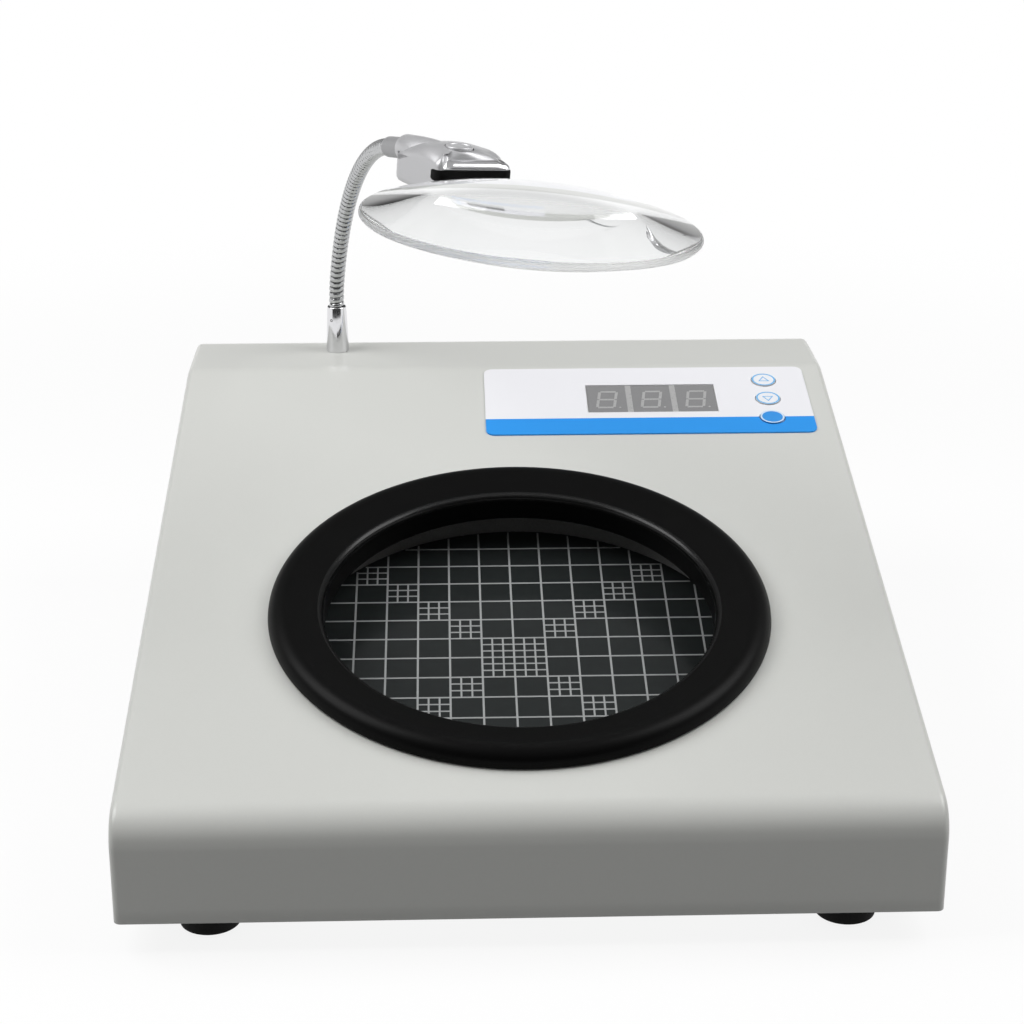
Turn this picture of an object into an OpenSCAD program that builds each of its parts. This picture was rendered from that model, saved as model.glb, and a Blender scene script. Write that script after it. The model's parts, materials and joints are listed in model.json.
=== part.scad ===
// Bench colony counter: a sloped sheet housing with a lit dish well, a display panel with three keys,
// and a lens on a gooseneck. Millimetres, floor at zero, X to the right, Y to the back.

/* [Housing] */
// Width of the housing
body_w = 230; // [215:1:260]
// Depth of the housing from front face to back face
body_d = 284; // [280:1:320]
// Height of the front face up to the corner of the slope
front_h = 30.9; // [29:0.1:45]
// Rise of the work surface in degrees
slope = 12.83; // [11:0.01:15]
// Length of the level land behind the slope
land_l = 42.2; // [38:0.1:50]
// Outside radius of the sheet bends
bend_r = 11; // [6:0.5:13]
// Rounding of the side edges
edge_r = 2.5; // [1.6:0.1:4]
// Thickness of the housing sheet
sheet = 1.5; // [1:0.1:2]
// Width of the inward flange along the bottom
flange_w = 10; // [8:0.5:14]
// Thickness of the base plate
base_t = 1.5; // [1:0.1:3]

/* [Feet] */
// Height of a foot
foot_h = 9.5; // [6:0.5:14]
// Diameter of a foot at its top
foot_d = 18; // [14:0.5:24]
// Diameter of the flat that meets the bench
foot_tip_d = 9.5; // [6:0.5:12]
// Distance of a foot from the side face
foot_side = 25; // [20:1:32]
// Distance of a foot from the front or back face
foot_end = 16; // [15.5:0.5:20]

/* [Dish well] */
// Share of the free slope that lies in front of the ring
ring_share = 0.306; // [0.25:0.001:0.4]
// Outside radius of the bezel ring
ring_r = 77; // [74:0.5:80]
// Radius of the ring crest
crest_r = 69; // [67:0.5:71]
// Height of the ring crest above the slope
crest_h = 6.3; // [5:0.1:8]
// Radius of the dish opening
lip_r = 60; // [56:0.5:61]
// Height of the inner lip above the slope
lip_h = 2.7; // [2:0.1:3.5]
// Height of the ring edge where it meets the slope
ring_edge_h = 0.8; // [0.5:0.1:1.5]
// Depth of the ring skirt below the slope
skirt_d = 6; // [5:0.5:8]
// Wall of the ring skirt
skirt_t = 3; // [2:0.1:3.2]
// Depth of the glass plate below the slope
glass_d = 18.3; // [17:0.1:19]
// Thickness of the glass plate
glass_t = 3; // [2:0.1:3.5]
// Radius of the glass plate
glass_r = 70.3; // [66:0.1:71]
// Travel of the stage when the dish is pressed
stage_travel = 0.8; // [0.4:0.1:1.2]
// Depth of the free space under the stage
stage_space = 6; // [5.5:0.1:6.5]
// Lamps around the ring
lamp_count = 24; // [12:1:36]

/* [Panel] */
// Width of the overlay
overlay_w = 115; // [110:0.5:120]
// Height of the overlay along the slope
overlay_h = 45.5; // [44:0.5:47]
// Thickness of the overlay
overlay_t = 0.5; // [0.3:0.1:0.8]
// Distance of the overlay from the right side face
overlay_edge = 8; // [6:0.5:9.5]
// Distance of the overlay from the upper end of the slope
panel_gap = 3; // [2:0.1:4]
// Width of the display window
window_w = 46; // [45:0.5:50]
// Height of the display window
window_h = 19; // [18:0.5:21]
// Distance of the window centre to the right of the overlay centre
window_u = 1.5; // [-4:0.5:4]
// Distance of the window centre above the overlay centre
window_v = 1.1; // [-1:0.1:2]
// Diameter of a key
key_d = 8.5; // [7:0.1:9.5]
// Distance of the key column to the right of the overlay centre
key_u = 42.8; // [38:0.1:46]
// Spacing of the keys
key_pitch = 12.95; // [12:0.05:14]
// Travel of a key
key_travel = 0.4; // [0.2:0.05:0.6]

/* [Gooseneck] */
// Distance of the gooseneck to the left of the centre line
neck_side = 61.7; // [50:0.1:80]
// Distance of the gooseneck behind the front end of the land
neck_back = 22.8; // [18:0.1:26]
// Height of the ferrule
ferrule_h = 17; // [12:0.5:24]
// Diameter of the ferrule at its foot
ferrule_d = 8.4; // [8:0.1:12]
// Diameter of the ribbed tube
neck_d = 5.6; // [5:0.1:6.2]
// Bore of the ribbed tube
neck_bore = 3.2; // [2.4:0.1:3.4]
// Depth of the grooves between the ribs
groove_d = 0.35; // [0.2:0.05:0.5]
// Spacing of the ribs
rib_pitch = 2; // [1.8:0.1:2.4]
// Radius of the lower bend
neck_r1 = 30; // [26:0.5:40]
// Turn of the lower bend in degrees
neck_split = 20; // [15:0.5:30]
// Radius of the upper bend
neck_r2 = 98.8; // [92:0.1:106]
// Turn from upright at the end of the upper bend, in degrees
neck_turn = 80.6; // [76:0.1:84]
// Direction in which the gooseneck leans, in degrees from +X
neck_az = -73.5; // [-80:0.1:-68]
// Length of the smooth sleeve at the head
sleeve_l = 28.3; // [26:0.1:31]
// Diameter of the smooth sleeve
sleeve_d = 6.8; // [6.2:0.1:7.4]
// Gap between two links of the gooseneck
link_gap = 0.7; // [0.65:0.05:0.8]

/* [Lens head] */
// Diameter of the lens
lens_d = 100; // [90:1:110]
// Thickness of the lens at its edge
lens_edge = 3; // [2.4:0.1:4]
// Radius of both faces of the lens
lens_face_r = 163; // [140:1:220]
// Roll of the lens to the right, in degrees
lens_roll = 5; // [0:0.5:10]
// Direction of the head from the lens centre, in degrees left of the back
head_az = 19; // [10:0.5:30]
// Width of the head along the lens edge
head_w = 25; // [23:0.5:28]
// Height of the head above the middle of the lens
head_h = 10; // [9.6:0.1:12]
// Depth of the head below the middle of the lens
head_low = 5; // [4.4:0.1:6]
// Radius of the domed top
dome_r = 32; // [30:1:45]
// Diameter of the head button
button_d = 8.6; // [7:0.1:9]
// Travel of the head button
button_travel = 0.8; // [0.4:0.1:1]

/* [Rear] */
// Width of the inlet flange
inlet_w = 50; // [48:0.5:54]
// Height of the inlet flange
inlet_h = 24; // [23:0.5:28]
// Distance of the inlet centre from the right side face
inlet_edge = 55; // [45:1:60]
// Height of the rear fittings above the base
fitting_z = 36; // [30:1:44]
// Spacing of the inlet screws
inlet_pitch = 40; // [38:0.5:42]
// How far the rear fittings stand proud
rear_proud = 2.5; // [2:0.1:3]
// Distance of the switch centre from the right side face
switch_edge = 107; // [100:1:112]
// Height of the rocker
rocker_h = 17; // [15:0.5:19]
// Width of the rocker
rocker_w = 10.4; // [9:0.1:12]
// Tip of the rocker to each side in degrees
rocker_tilt = 10; // [6:0.5:11]

/* [Inside] */
// Width of the transformer core
core_w = 46; // [40:1:52]
// Depth of the transformer core
core_d = 38; // [32:1:44]
// Height of the transformer core
core_h = 32; // [26:1:38]
// Width of the power board
supply_w = 76; // [60:1:84]
// Depth of the power board
supply_d = 46; // [40:1:52]
// Thickness of the circuit boards
board_t = 1.6; // [1:0.1:2]

/* [Hidden] */
$fn = 64;

// Clearances: cut is an overshoot for cuts, fit parts fixed pieces, run parts moving ones
cut = 1;
fit = 0.1;
run = 0.3;
arc_steps = 8;
edge_steps = 4;

// Places of the housing
y_front = -(body_d + rear_proud) / 2;
y_back = y_front + body_d;
z_low = foot_h;
z_base = z_low + base_t;
z_front = z_low + front_h;
y_kink = y_back - land_l;
z_land = z_front + (y_kink - y_front) * tan(slope);
slope_l = (y_kink - y_front) / cos(slope);
bend_l = bend_r * tan((90 - slope) / 2);
free_l = slope_l - bend_l - ring_r * 2 - overlay_h - panel_gap;
ring_v = bend_l + free_l * ring_share + ring_r;
ring_back = ring_v * cos(slope);
ring_y = y_front + ring_back;
ring_z = z_front + ring_back * tan(slope);
flange_z = z_base + sheet;
inner_edge_r = 0.5;
base_screw_end = 23;
foot_taper = 1;
foot_shoulder_h = 3.4;
foot_rim_h = 1.9;

// Sizes of the well, measured along the slope's normal
spigot_r = lip_r + skirt_t;
well_hole_r = spigot_r + fit * 3;
barb_catch = 0.8;
barb_r = well_hole_r + barb_catch;
barb_t = 1.4;
barb_angle = 20;
barb_count = 4;
plate_gap = 0.5;
background_t = 1.2;
carrier_t = 1.5;
carrier_rim_t = 1.4;
carrier_r = glass_r + fit * 2 + carrier_rim_t;
carrier_low = glass_d + glass_t + background_t + carrier_t;
carrier_rim_drop = 1.2;
carrier_rim_top = glass_d + carrier_rim_drop;
cup_r = carrier_r + plate_gap;
cup_t = 1.5;
cup_step = 1.5;
cup_top_r = cup_r + cup_step;
cup_ledge = skirt_d;
cup_floor = carrier_low + stage_space;
cup_flange_w = 1.5;
cup_flange_r = cup_top_r + cup_t + cup_flange_w;
cup_flange_t = 1.5;
cup_stud_r = 1.5;
cup_stud_l = 7;
cup_ear_r = 4.2;
cup_stud_at = cup_flange_r + cup_ear_r / 2;
cup_stud_angles = [20, 160, 200, 340];
nut_h = 2.4;
nut_r = 3;
lamp_board_r = cup_top_r - fit * 2;
lamp_board_in = barb_r + run * 2;
lamp_size = [3, 3.4, 1];
lamp_r = (lamp_board_in + lamp_board_r) / 2;
post_r = 1.5;
post_at = 50;
post_angles = [90, 210, 330];
post_collar_r = 2.6;
post_collar_t = 1.2;
spring_wire_r = 0.35;
spring_r = 3.4;
spring_turns = 3;
spring_rings = 10;
spring_sides = 6;
switch_size = [6, 6, 3.4];
switch_plunger_r = 1.7;

// Sizes of the panel
overlay_u = body_w / 2 - overlay_edge - overlay_w / 2;
overlay_v = slope_l - ring_v - panel_gap - overlay_h / 2;
overlay_corner = 3;
window_fit = 0.3;
pane_drop = 0.15;
pane_t = sheet + overlay_t - pane_drop;
digit_count = 3;
digit_gap = 0.6;
digit_h = 8;
digit_w = (window_w - window_fit * 2 - digit_gap * (digit_count - 1)) / digit_count;
digit_top = sheet + fit;
board_top = digit_top + digit_h;
board_margin = 3;
board_w = overlay_w - board_margin * 2;
board_h = overlay_h - board_margin;
board_post_r = 2.4;
board_post_in = 3.4;
key_t = 0.4;
key_stem_r = 2.5;
key_seat = key_travel + fit / 2;
tact_body = [6, 6, 3.5];
tact_plunger_r = 1.7;
tact_plunger_h = 0.5;
stem_low = board_top - tact_body.z - tact_plunger_h - key_travel - fit;
buzzer_r = 6;
buzzer_h = 8;
buzzer_u = -40;
screw_r = 1.5;
screw_head_r = 2.8;
screw_head_t = 1.8;
screw_l = 5;

// Path of the gooseneck: two tangent arcs, then the straight sleeve
neck_l1 = neck_r1 * neck_split * PI / 180;
neck_l2 = neck_r2 * (neck_turn - neck_split) * PI / 180;
sleeve_from = neck_l1 + neck_l2;
neck_l = sleeve_from + sleeve_l;
neck_foot = [-neck_side, y_kink + neck_back, z_land];
neck_z = z_land + ferrule_h;
neck_socket = 6;
neck_sides = 8;
neck_end_taper = 0.6;
neck_end_r = neck_d / 2 - neck_end_taper;
neck_chamfer = 0.4;
bore_step = 6;
sleeve_taper = 0.8;
link_share = 0.3;
lower_to = neck_l * link_share;
middle_to = neck_l * link_share * 2;
stud_r = 3.2;
stud_l = 9;
neck_washer_r = 6.4;
neck_washer_t = 1.6;
neck_nut_r = 5.8;
neck_nut_h = 3.6;
ferrule_wall = 0.7;
ferrule_top_r = neck_d / 2 + ferrule_wall;

// Places of the head: the boss at the end of the gooseneck carries the lens
boss_at = [-11.5, 24.8, 5.4];
boss_r = 5.4;
head_gap = 0.3;
head_shift = 0.5;
head_left = head_shift - head_w / 2;
head_right = head_shift + head_w / 2;
head_corner = 2.5;
head_back_r = 6;
boss_in = 0.8;
lens_r = lens_d / 2;
lens_reach = lens_r + head_gap;
head_in_lens = turn_z(head_az, boss_at + [0, lens_reach, 0]);
lens_at = point_at(neck_l) - turn_y(lens_roll, head_in_lens);
gasket_low = 0.2;
gasket_high = 3.6;
gasket_l = 11;
gasket_wall = 1.6;
gasket_left = head_left + gasket_wall;
tab_low = -1;
tab_high = gasket_low;
tab_side = 4.5;
tab_w = head_w - tab_side * 2;
tab_end = 1.5;
tab_l = gasket_l - tab_end;
jaw_top = tab_low;
jaw_l = gasket_l;
dome_at = [head_shift - 3.5, 12];
button_at = [head_shift - 2.5, 8.5];
button_h = 3;
button_proud = 0.2;
button_low = head_h + button_proud - button_h;
head_switch_r = 3;
head_switch_h = 2;
head_plunger_r = 1.5;
head_plunger_h = 0.5;
button_pocket = button_low - button_travel - fit - head_switch_h - head_plunger_h;
collar_wall = 1.2;
collar_r = sleeve_d / 2 + collar_wall;
collar_l = 9;
collar_in = 3;
jaw_screw_r = 1;
jaw_screw_in = 3;
jaw_screw_x = tab_w / 2 - jaw_screw_in;
jaw_screw_y = 5;
jaw_screw_head_r = 1.9;
jaw_screw_head_t = 1.2;
jaw_screw_bite = 1.2;
head_led_r = 1.5;
head_led_x = 4;
head_led_y = 9.3;

// Sizes of the rear fittings
inlet_body = [27.4, 20, 19.6];
inlet_socket = [24.4, 16.4, 17];
inlet_chamfer = 4.5;
inlet_wall_fit = 0.3;
pin_size = [2, 4, 12];
pin_spread = 7;
pin_drop = 2.2;
inlet_screw_r = 1.5;
inlet_screw_head_r = 2.6;
inlet_screw_t = 1.4;
inlet_corner = 4;
frame_corner = 1.5;
frame_lip = 1.8;
frame_proud = 1.8;
frame_body_t = 1.2;
frame_depth = 13;
frame_floor = 1.5;
rocker_play = 0.3;
rocker_pivot = 4;
rocker_low = 5;
rocker_high = 1;
rocker_dip = 0.8;
rocker_pin_r = 1;
rocker_pin_fit = 0.05;
rocker_pin_bite = 0.9;
rocker_pin_l = rocker_w + (rocker_play + rocker_pin_bite) * 2;
rocker_sweep = rocker_h / 2 * cos(rocker_tilt) + (rocker_high + rocker_pivot) * sin(rocker_tilt);
frame_win = [rocker_w + rocker_play * 2, (rocker_sweep + rocker_play) * 2];
frame_out = frame_win + [frame_body_t * 2, frame_body_t * 2];
rear_z = z_low + fitting_z;
inlet_side = body_w / 2 - inlet_edge;
switch_side = body_w / 2 - switch_edge;

// Places inside
core_edge = 59;
supply_edge = 81;
core_at = [core_edge - body_w / 2, y_kink - 16];
supply_at = [body_w / 2 - supply_edge, y_kink - 16];
supply_lift = 8;
supply_post_r = 2.5;
supply_in = 4;
post_tip_r = 1.4;
strap_ear = 9;
strap_w = 16;
strap_t = 1.2;
core_share = 0.55;
coil_share = 0.64;
capacitor_r = 7;
capacitor_h = 18;
sink_size = [22, 12, 20];
sink_t = 1.4;
sink_fins = 6;

// Points on an arc, both ends included
function arc(c, r, a0, a1, n) = [for (i = [0 : n])
    let (a = a0 + (a1 - a0) * i / n) c + r * [cos(a), sin(a)]];
// A point turned about Z or about Y
function turn_z(a, p) = [p.x * cos(a) - p.y * sin(a), p.x * sin(a) + p.y * cos(a), p.z];
function turn_y(a, p) = [p.x * cos(a) + p.z * sin(a), p.y, p.z * cos(a) - p.x * sin(a)];

// The gooseneck at a length s from the top of the ferrule: its turn from the vertical, place and direction
function turn_at(s) = s < 0 ? 0 : s < neck_l1 ? s / neck_r1 * 180 / PI
    : min(neck_turn, neck_split + (s - neck_l1) / neck_r2 * 180 / PI);
function past(s) = max(0, s - sleeve_from);
function run_at(s) = s < 0 ? 0 : s < neck_l1 ? neck_r1 * (1 - cos(turn_at(s)))
    : neck_r1 * (1 - cos(neck_split)) + neck_r2 * (cos(neck_split) - cos(turn_at(s)))
        + past(s) * sin(neck_turn);
function rise_at(s) = s < 0 ? s : s < neck_l1 ? neck_r1 * sin(turn_at(s))
    : neck_r1 * sin(neck_split) + neck_r2 * (sin(turn_at(s)) - sin(neck_split))
        + past(s) * cos(neck_turn);
function point_at(s) = [
    neck_foot.x + run_at(s) * cos(neck_az),
    neck_foot.y + run_at(s) * sin(neck_az),
    neck_z + rise_at(s)
];
function neck_ring(s, r) = let (
    side = [-sin(neck_az), cos(neck_az), 0],
    tip = [sin(turn_at(s)) * cos(neck_az), sin(turn_at(s)) * sin(neck_az), cos(turn_at(s))],
    up = cross(side, tip)
) [for (k = [0 : neck_sides - 1]) let (a = 360 * k / neck_sides)
    point_at(s) + r * (cos(a) * side + sin(a) * up)];

// Side triangles between rings of points, from one ring index to another
function band(rings, sides, from, flip) = [for (i = [0 : rings - 2], k = [0 : sides - 1]) let (
    a = from + i * sides + k,
    b = from + i * sides + (k + 1) % sides
) each flip ? [[a, a + sides, b], [b, a + sides, b + sides]]
    : [[a, b, a + sides], [b, b + sides, a + sides]]];
// Triangles of a flat ring between an outer and an inner loop
function annulus(out, in, sides, flip) = [for (k = [0 : sides - 1]) let (j = (k + 1) % sides)
    each flip ? [[out + k, in + k, out + j], [out + j, in + k, in + j]]
        : [[out + k, out + j, in + k], [out + j, in + j, in + k]]];
// Triangles of a closed end
function fan(from, sides, flip) = [for (k = [1 : sides - 2])
    flip ? [from, from + k, from + k + 1] : [from, from + k + 1, from + k]];

module on_slope() translate([0, ring_y, ring_z]) rotate([slope, 0, 0]) children();
module on_panel() on_slope() translate([overlay_u, overlay_v, 0]) children();
module along_neck(s) translate(point_at(s)) rotate([0, turn_at(s), neck_az]) children();
module at_lens() translate(lens_at) rotate([0, lens_roll, 0]) children();
module at_head() at_lens() rotate([0, 0, head_az]) translate([0, lens_reach, 0]) children();
module at_rear(x) translate([x, y_back, rear_z]) rotate([90, 0, 180]) children();
module polar(angles, r) for (a = angles) rotate([0, 0, a]) translate([r, 0, 0]) children();
module corners(w, d) for (x = [-w / 2, w / 2], y = [-d / 2, d / 2]) translate([x, y, 0]) children();
module slab(size, low, high) translate([-size.x / 2, -size.y / 2, low]) cube([size.x, size.y, high - low]);

// A pan head screw, its head below zero and its shank along +Z
module screw(r, head_r, head_t, l) {
    cylinder(r = r, h = l);
    translate([0, 0, -head_t]) cylinder(r = head_r, h = head_t);
}

// Side outline of the housing, inset by t
module side_outline(t, low) {
    r = bend_r - t;
    lean = 90 + slope;
    zf = z_front + t * tan(slope) - t / cos(slope);
    yk = y_kink + (t / cos(slope) - t) / tan(slope);
    front_c = [y_front + t + r, zf + r * (tan(slope) - 1 / cos(slope))];
    kink_c = [yk - r * tan(slope / 2), z_land - t - r];
    back_c = [y_back - t - r, z_land - t - r];
    polygon(concat(
        [[y_front + t, low]],
        arc(front_c, r, 180, lean, arc_steps),
        arc(kink_c, r, lean, 90, edge_steps),
        arc(back_c, r, 90, 0, arc_steps),
        [[y_back - t, low]]
    ));
}

// Section across the housing with rounded upper edges, top at zero
module cross_outline(t, low) {
    w = body_w / 2 - t;
    r = max(edge_r - t, inner_edge_r);
    polygon(concat(
        [[-w, low]],
        arc([r - w, -t - r], r, 180, 90, edge_steps),
        arc([w - r, -t - r], r, 90, 0, edge_steps),
        [[w, low]]
    ));
}

module housing_body(t, low) {
    deep = body_d * 2;
    intersection() {
        rotate([90, 0, 90]) linear_extrude(height = body_w - t * 2, center = true) side_outline(t, low);
        on_slope() rotate([90, 0, 0]) linear_extrude(height = deep, center = true) cross_outline(t, -deep);
        translate([0, 0, z_land]) rotate([90, 0, 0]) linear_extrude(height = deep, center = true)
            cross_outline(t, -deep);
    }
}

module housing_cuts() {
    on_slope() {
        translate([0, 0, -sheet - cut]) cylinder(r = well_hole_r, h = sheet + cut * 2);
    }
    on_panel() {
        translate([window_u, window_v, 0])
            slab([window_w, window_h], -sheet - cut, cut);
        for (i = [-1 : 1]) translate([key_u, key_pitch * i, -sheet - cut])
            cylinder(r = key_stem_r + run + fit, h = sheet + cut * 2);
    }
    translate(neck_foot - [0, 0, sheet + cut]) cylinder(r = stud_r + fit * 2, h = sheet + cut * 2);
    at_rear(inlet_side) {
        slab([inlet_body.x, inlet_body.y] + [inlet_wall_fit, inlet_wall_fit] * 2, -sheet - cut, cut);
        for (s = [-1, 1]) translate([s * inlet_pitch / 2, 0, -sheet - cut])
            cylinder(r = inlet_screw_r + fit, h = sheet + cut * 2);
    }
    at_rear(switch_side)
        slab(frame_out + [inlet_wall_fit, inlet_wall_fit] * 2, -sheet - cut, cut);
}

module bottom_flange() {
    inner = [body_w - sheet * 2, body_d - sheet * 2];
    translate([0, (y_front + y_back) / 2, 0]) difference() {
        slab(inner + [sheet, sheet], z_base, flange_z);
        slab(inner - [flange_w, flange_w] * 2, z_base - cut, flange_z + cut);
    }
}

module base_screw_places() {
    for (s = [-1, 1], y = [y_front + base_screw_end, (y_front + y_back) / 2, y_back - base_screw_end])
        translate([s * (body_w / 2 - sheet - flange_w / 2), y, z_low]) children();
}

module housing() color([0.80, 0.81, 0.79]) difference() {
    union() {
        difference() {
            housing_body(0, z_low);
            housing_body(sheet, z_low - cut);
            housing_cuts();
        }
        bottom_flange();
        on_slope() polar(cup_stud_angles, cup_stud_at)
            translate([0, 0, -sheet - cup_stud_l]) cylinder(r = cup_stud_r, h = cup_stud_l + sheet / 2);
        on_panel() corners(board_w - board_post_in * 2, board_h - board_post_in * 2)
            translate([0, 0, -board_top]) difference() {
                cylinder(r = board_post_r, h = board_top - sheet / 2);
                translate([0, 0, -cut]) cylinder(r = screw_r + fit, h = screw_l + cut);
            }
    }
    base_screw_places() translate([0, 0, -cut]) cylinder(r = screw_r + fit, h = screw_l + cut * 2);
}

module foot_places() {
    for (s = [-1, 1], y = [y_front + foot_end, y_back - foot_end])
        translate([s * (body_w / 2 - foot_side), y, 0]) children();
}

module base_plate() color([0.62, 0.63, 0.62]) difference() {
    translate([0, (y_front + y_back) / 2, 0])
        slab([body_w - sheet * 2 - run * 2, body_d - sheet * 2 - run * 2], z_low, z_base);
    base_screw_places() translate([0, 0, -cut]) cylinder(r = screw_r + fit, h = base_t + cut * 2);
    foot_places() translate([0, 0, z_low - cut]) cylinder(r = screw_r + fit, h = base_t + cut * 2);
    core_screw_places() translate([0, 0, z_low - cut]) cylinder(r = screw_r + fit, h = base_t + cut * 2);
}

module base_screws() color([0.75, 0.75, 0.76]) base_screw_places()
    screw(screw_r, screw_head_r, screw_head_t, base_t + sheet + screw_head_t);

module feet() color([0.06, 0.06, 0.06]) foot_places() difference() {
    rotate_extrude() polygon([
        [0, 0], [foot_tip_d / 2, 0], [foot_d / 2 - foot_taper, foot_shoulder_h],
        [foot_d / 2, foot_h - foot_rim_h], [foot_d / 2, foot_h], [0, foot_h]
    ]);
    translate([0, 0, foot_h - screw_l]) cylinder(r = screw_r + fit, h = screw_l + cut);
}

module foot_screws() color([0.75, 0.75, 0.76]) foot_places()
    translate([0, 0, z_base]) rotate([180, 0, 0])
        screw(screw_r, screw_head_r, screw_head_t, base_t + screw_l - fit);

// Section of the bezel ring: a round crest between the outer edge and a straight inner slope
module ring_outline() {
    rise = crest_h - ring_edge_h;
    r = (pow(ring_r - crest_r, 2) + pow(rise, 2)) / (2 * rise);
    c = [crest_r, crest_h - r];
    lip = [lip_r, lip_h];
    gap = c - lip;
    tangent = atan2(-gap.y, -gap.x) - acos(r / norm(gap));
    edge = atan2(ring_edge_h - c.y, ring_r - c.x);
    polygon(concat(
        [[lip_r, -skirt_d], [spigot_r, -skirt_d], [spigot_r, 0], [ring_r, 0]],
        arc(c, r, edge, tangent, arc_steps * 2),
        [lip]
    ));
}

module bezel_ring() color([0.07, 0.07, 0.07]) on_slope() {
    rotate_extrude($fn = 128) ring_outline();
    for (i = [0 : barb_count - 1]) rotate([0, 0, 360 / barb_count * i - barb_angle / 2])
        rotate_extrude(angle = barb_angle, $fn = 128) polygon([
            [spigot_r - skirt_t / 2, -sheet - fit], [barb_r, -sheet - fit],
            [spigot_r - skirt_t / 4, -sheet - fit - barb_t], [spigot_r - skirt_t / 2, -sheet - fit - barb_t]
        ]);
}

module well_cup() color([0.10, 0.10, 0.10]) on_slope() difference() {
    union() {
        translate([0, 0, -cup_floor - cup_t])
            cylinder(r = cup_r + cup_t, h = cup_floor + cup_t - cup_ledge);
        translate([0, 0, -cup_ledge - cup_t])
            cylinder(r = cup_top_r + cup_t, h = cup_ledge + cup_t - sheet);
        translate([0, 0, -sheet - cup_flange_t]) cylinder(r = cup_flange_r, h = cup_flange_t);
        polar(cup_stud_angles, cup_stud_at)
            translate([0, 0, -sheet - cup_flange_t]) cylinder(r = cup_ear_r, h = cup_flange_t);
    }
    translate([0, 0, -cup_floor]) cylinder(r = cup_r, h = cup_floor + cut);
    translate([0, 0, -cup_ledge]) cylinder(r = cup_top_r, h = cup_ledge + cut);
    polar(cup_stud_angles, cup_stud_at) translate([0, 0, -sheet - cup_flange_t - cut])
        cylinder(r = cup_stud_r + fit * 2, h = cup_flange_t + cut * 2);
    polar(post_angles, post_at) translate([0, 0, -cup_floor - cup_t - cut])
        cylinder(r = post_r + run, h = cup_t + cut * 2);
}

module cup_nuts() color([0.72, 0.72, 0.73]) on_slope() polar(cup_stud_angles, cup_stud_at)
    translate([0, 0, -sheet - cup_flange_t - nut_h]) difference() {
        cylinder(r = nut_r, h = nut_h, $fn = 6);
        translate([0, 0, -cut]) cylinder(r = cup_stud_r + fit / 2, h = nut_h + cut * 2);
    }

module lamp_board() color([0.90, 0.91, 0.89]) on_slope() translate([0, 0, -cup_ledge]) difference() {
    cylinder(r = lamp_board_r, h = board_t);
    translate([0, 0, -cut]) cylinder(r = lamp_board_in, h = board_t + cut * 2);
}

module lamp_leds() color([0.98, 0.95, 0.70]) on_slope()
    polar([for (i = [0 : lamp_count - 1]) 360 / lamp_count * i], lamp_r)
        slab([lamp_size.x, lamp_size.y], -cup_ledge - lamp_size.z, -cup_ledge);

module grid_plate() color([0.12, 0.13, 0.13, 0.9]) on_slope()
    translate([0, 0, -glass_d - glass_t]) cylinder(r = glass_r, h = glass_t);

module background_disc() color([0.04, 0.04, 0.04]) on_slope()
    translate([0, 0, -glass_d - glass_t - background_t]) cylinder(r = glass_r, h = background_t);

module stage_carrier() color([0.09, 0.09, 0.09]) on_slope() difference() {
    translate([0, 0, -carrier_low]) cylinder(r = carrier_r, h = carrier_low - carrier_rim_top);
    translate([0, 0, -carrier_low + carrier_t]) cylinder(r = glass_r + fit * 2, h = carrier_low);
}

module stage_posts() color([0.70, 0.70, 0.71]) on_slope() polar(post_angles, post_at) {
    low = cup_floor + cup_t + post_collar_t + fit;
    translate([0, 0, -low]) cylinder(r = post_r, h = low - carrier_low);
    translate([0, 0, -low]) cylinder(r = post_collar_r, h = post_collar_t);
}

// A coil spring that stands on zero, swept as one tube
module coil(r, wire, h, turns) {
    n = turns * spring_rings;
    lift = h - wire * 2;
    rings = [for (i = [0 : n]) let (
        a = 360 * i / spring_rings,
        c = [r * cos(a), r * sin(a), wire + lift * i / n],
        side = [cos(a), sin(a), 0],
        up = cross([-sin(a), cos(a), 0], side)
    ) [for (k = [0 : spring_sides - 1]) let (b = 360 * k / spring_sides)
        c + wire * (cos(b) * side - sin(b) * up)]];
    polyhedron(
        points = [for (loop = rings) each loop],
        faces = concat(
            band(n + 1, spring_sides, 0, true),
            fan(0, spring_sides, true),
            fan(n * spring_sides, spring_sides, false)
        )
    );
}

module stage_springs() color([0.66, 0.66, 0.68]) on_slope() polar(post_angles, post_at)
    translate([0, 0, -cup_floor + fit / 2]) coil(spring_r, spring_wire_r, stage_space - fit, spring_turns);

module stage_switch() color([0.12, 0.12, 0.13]) on_slope() {
    top = carrier_low + stage_travel + fit;
    slab([switch_size.x, switch_size.y], -cup_floor, -cup_floor + switch_size.z);
    translate([0, 0, -cup_floor]) cylinder(r = switch_plunger_r, h = cup_floor - top);
}

module rounded_sheet(w, h, r) {
    polygon(concat(
        arc([r - w / 2, r - h / 2], r, 180, 270, edge_steps),
        arc([w / 2 - r, r - h / 2], r, 270, 360, edge_steps),
        arc([w / 2 - r, h / 2 - r], r, 0, 90, edge_steps),
        arc([r - w / 2, h / 2 - r], r, 90, 180, edge_steps)
    ));
}

module overlay() color([0.94, 0.94, 0.95]) on_panel() difference() {
    linear_extrude(height = overlay_t) rounded_sheet(overlay_w, overlay_h, overlay_corner);
    translate([window_u, window_v, 0]) slab([window_w, window_h], -cut, overlay_t + cut);
    for (i = [-1 : 1]) translate([key_u, key_pitch * i, -cut])
        cylinder(r = key_d / 2 + run, h = overlay_t + cut * 2);
}

module display_window() color([0.45, 0.45, 0.45, 0.6]) on_panel() translate([window_u, window_v, 0])
    slab([window_w - window_fit * 2, window_h - window_fit * 2], -sheet, pane_t - sheet);

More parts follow.
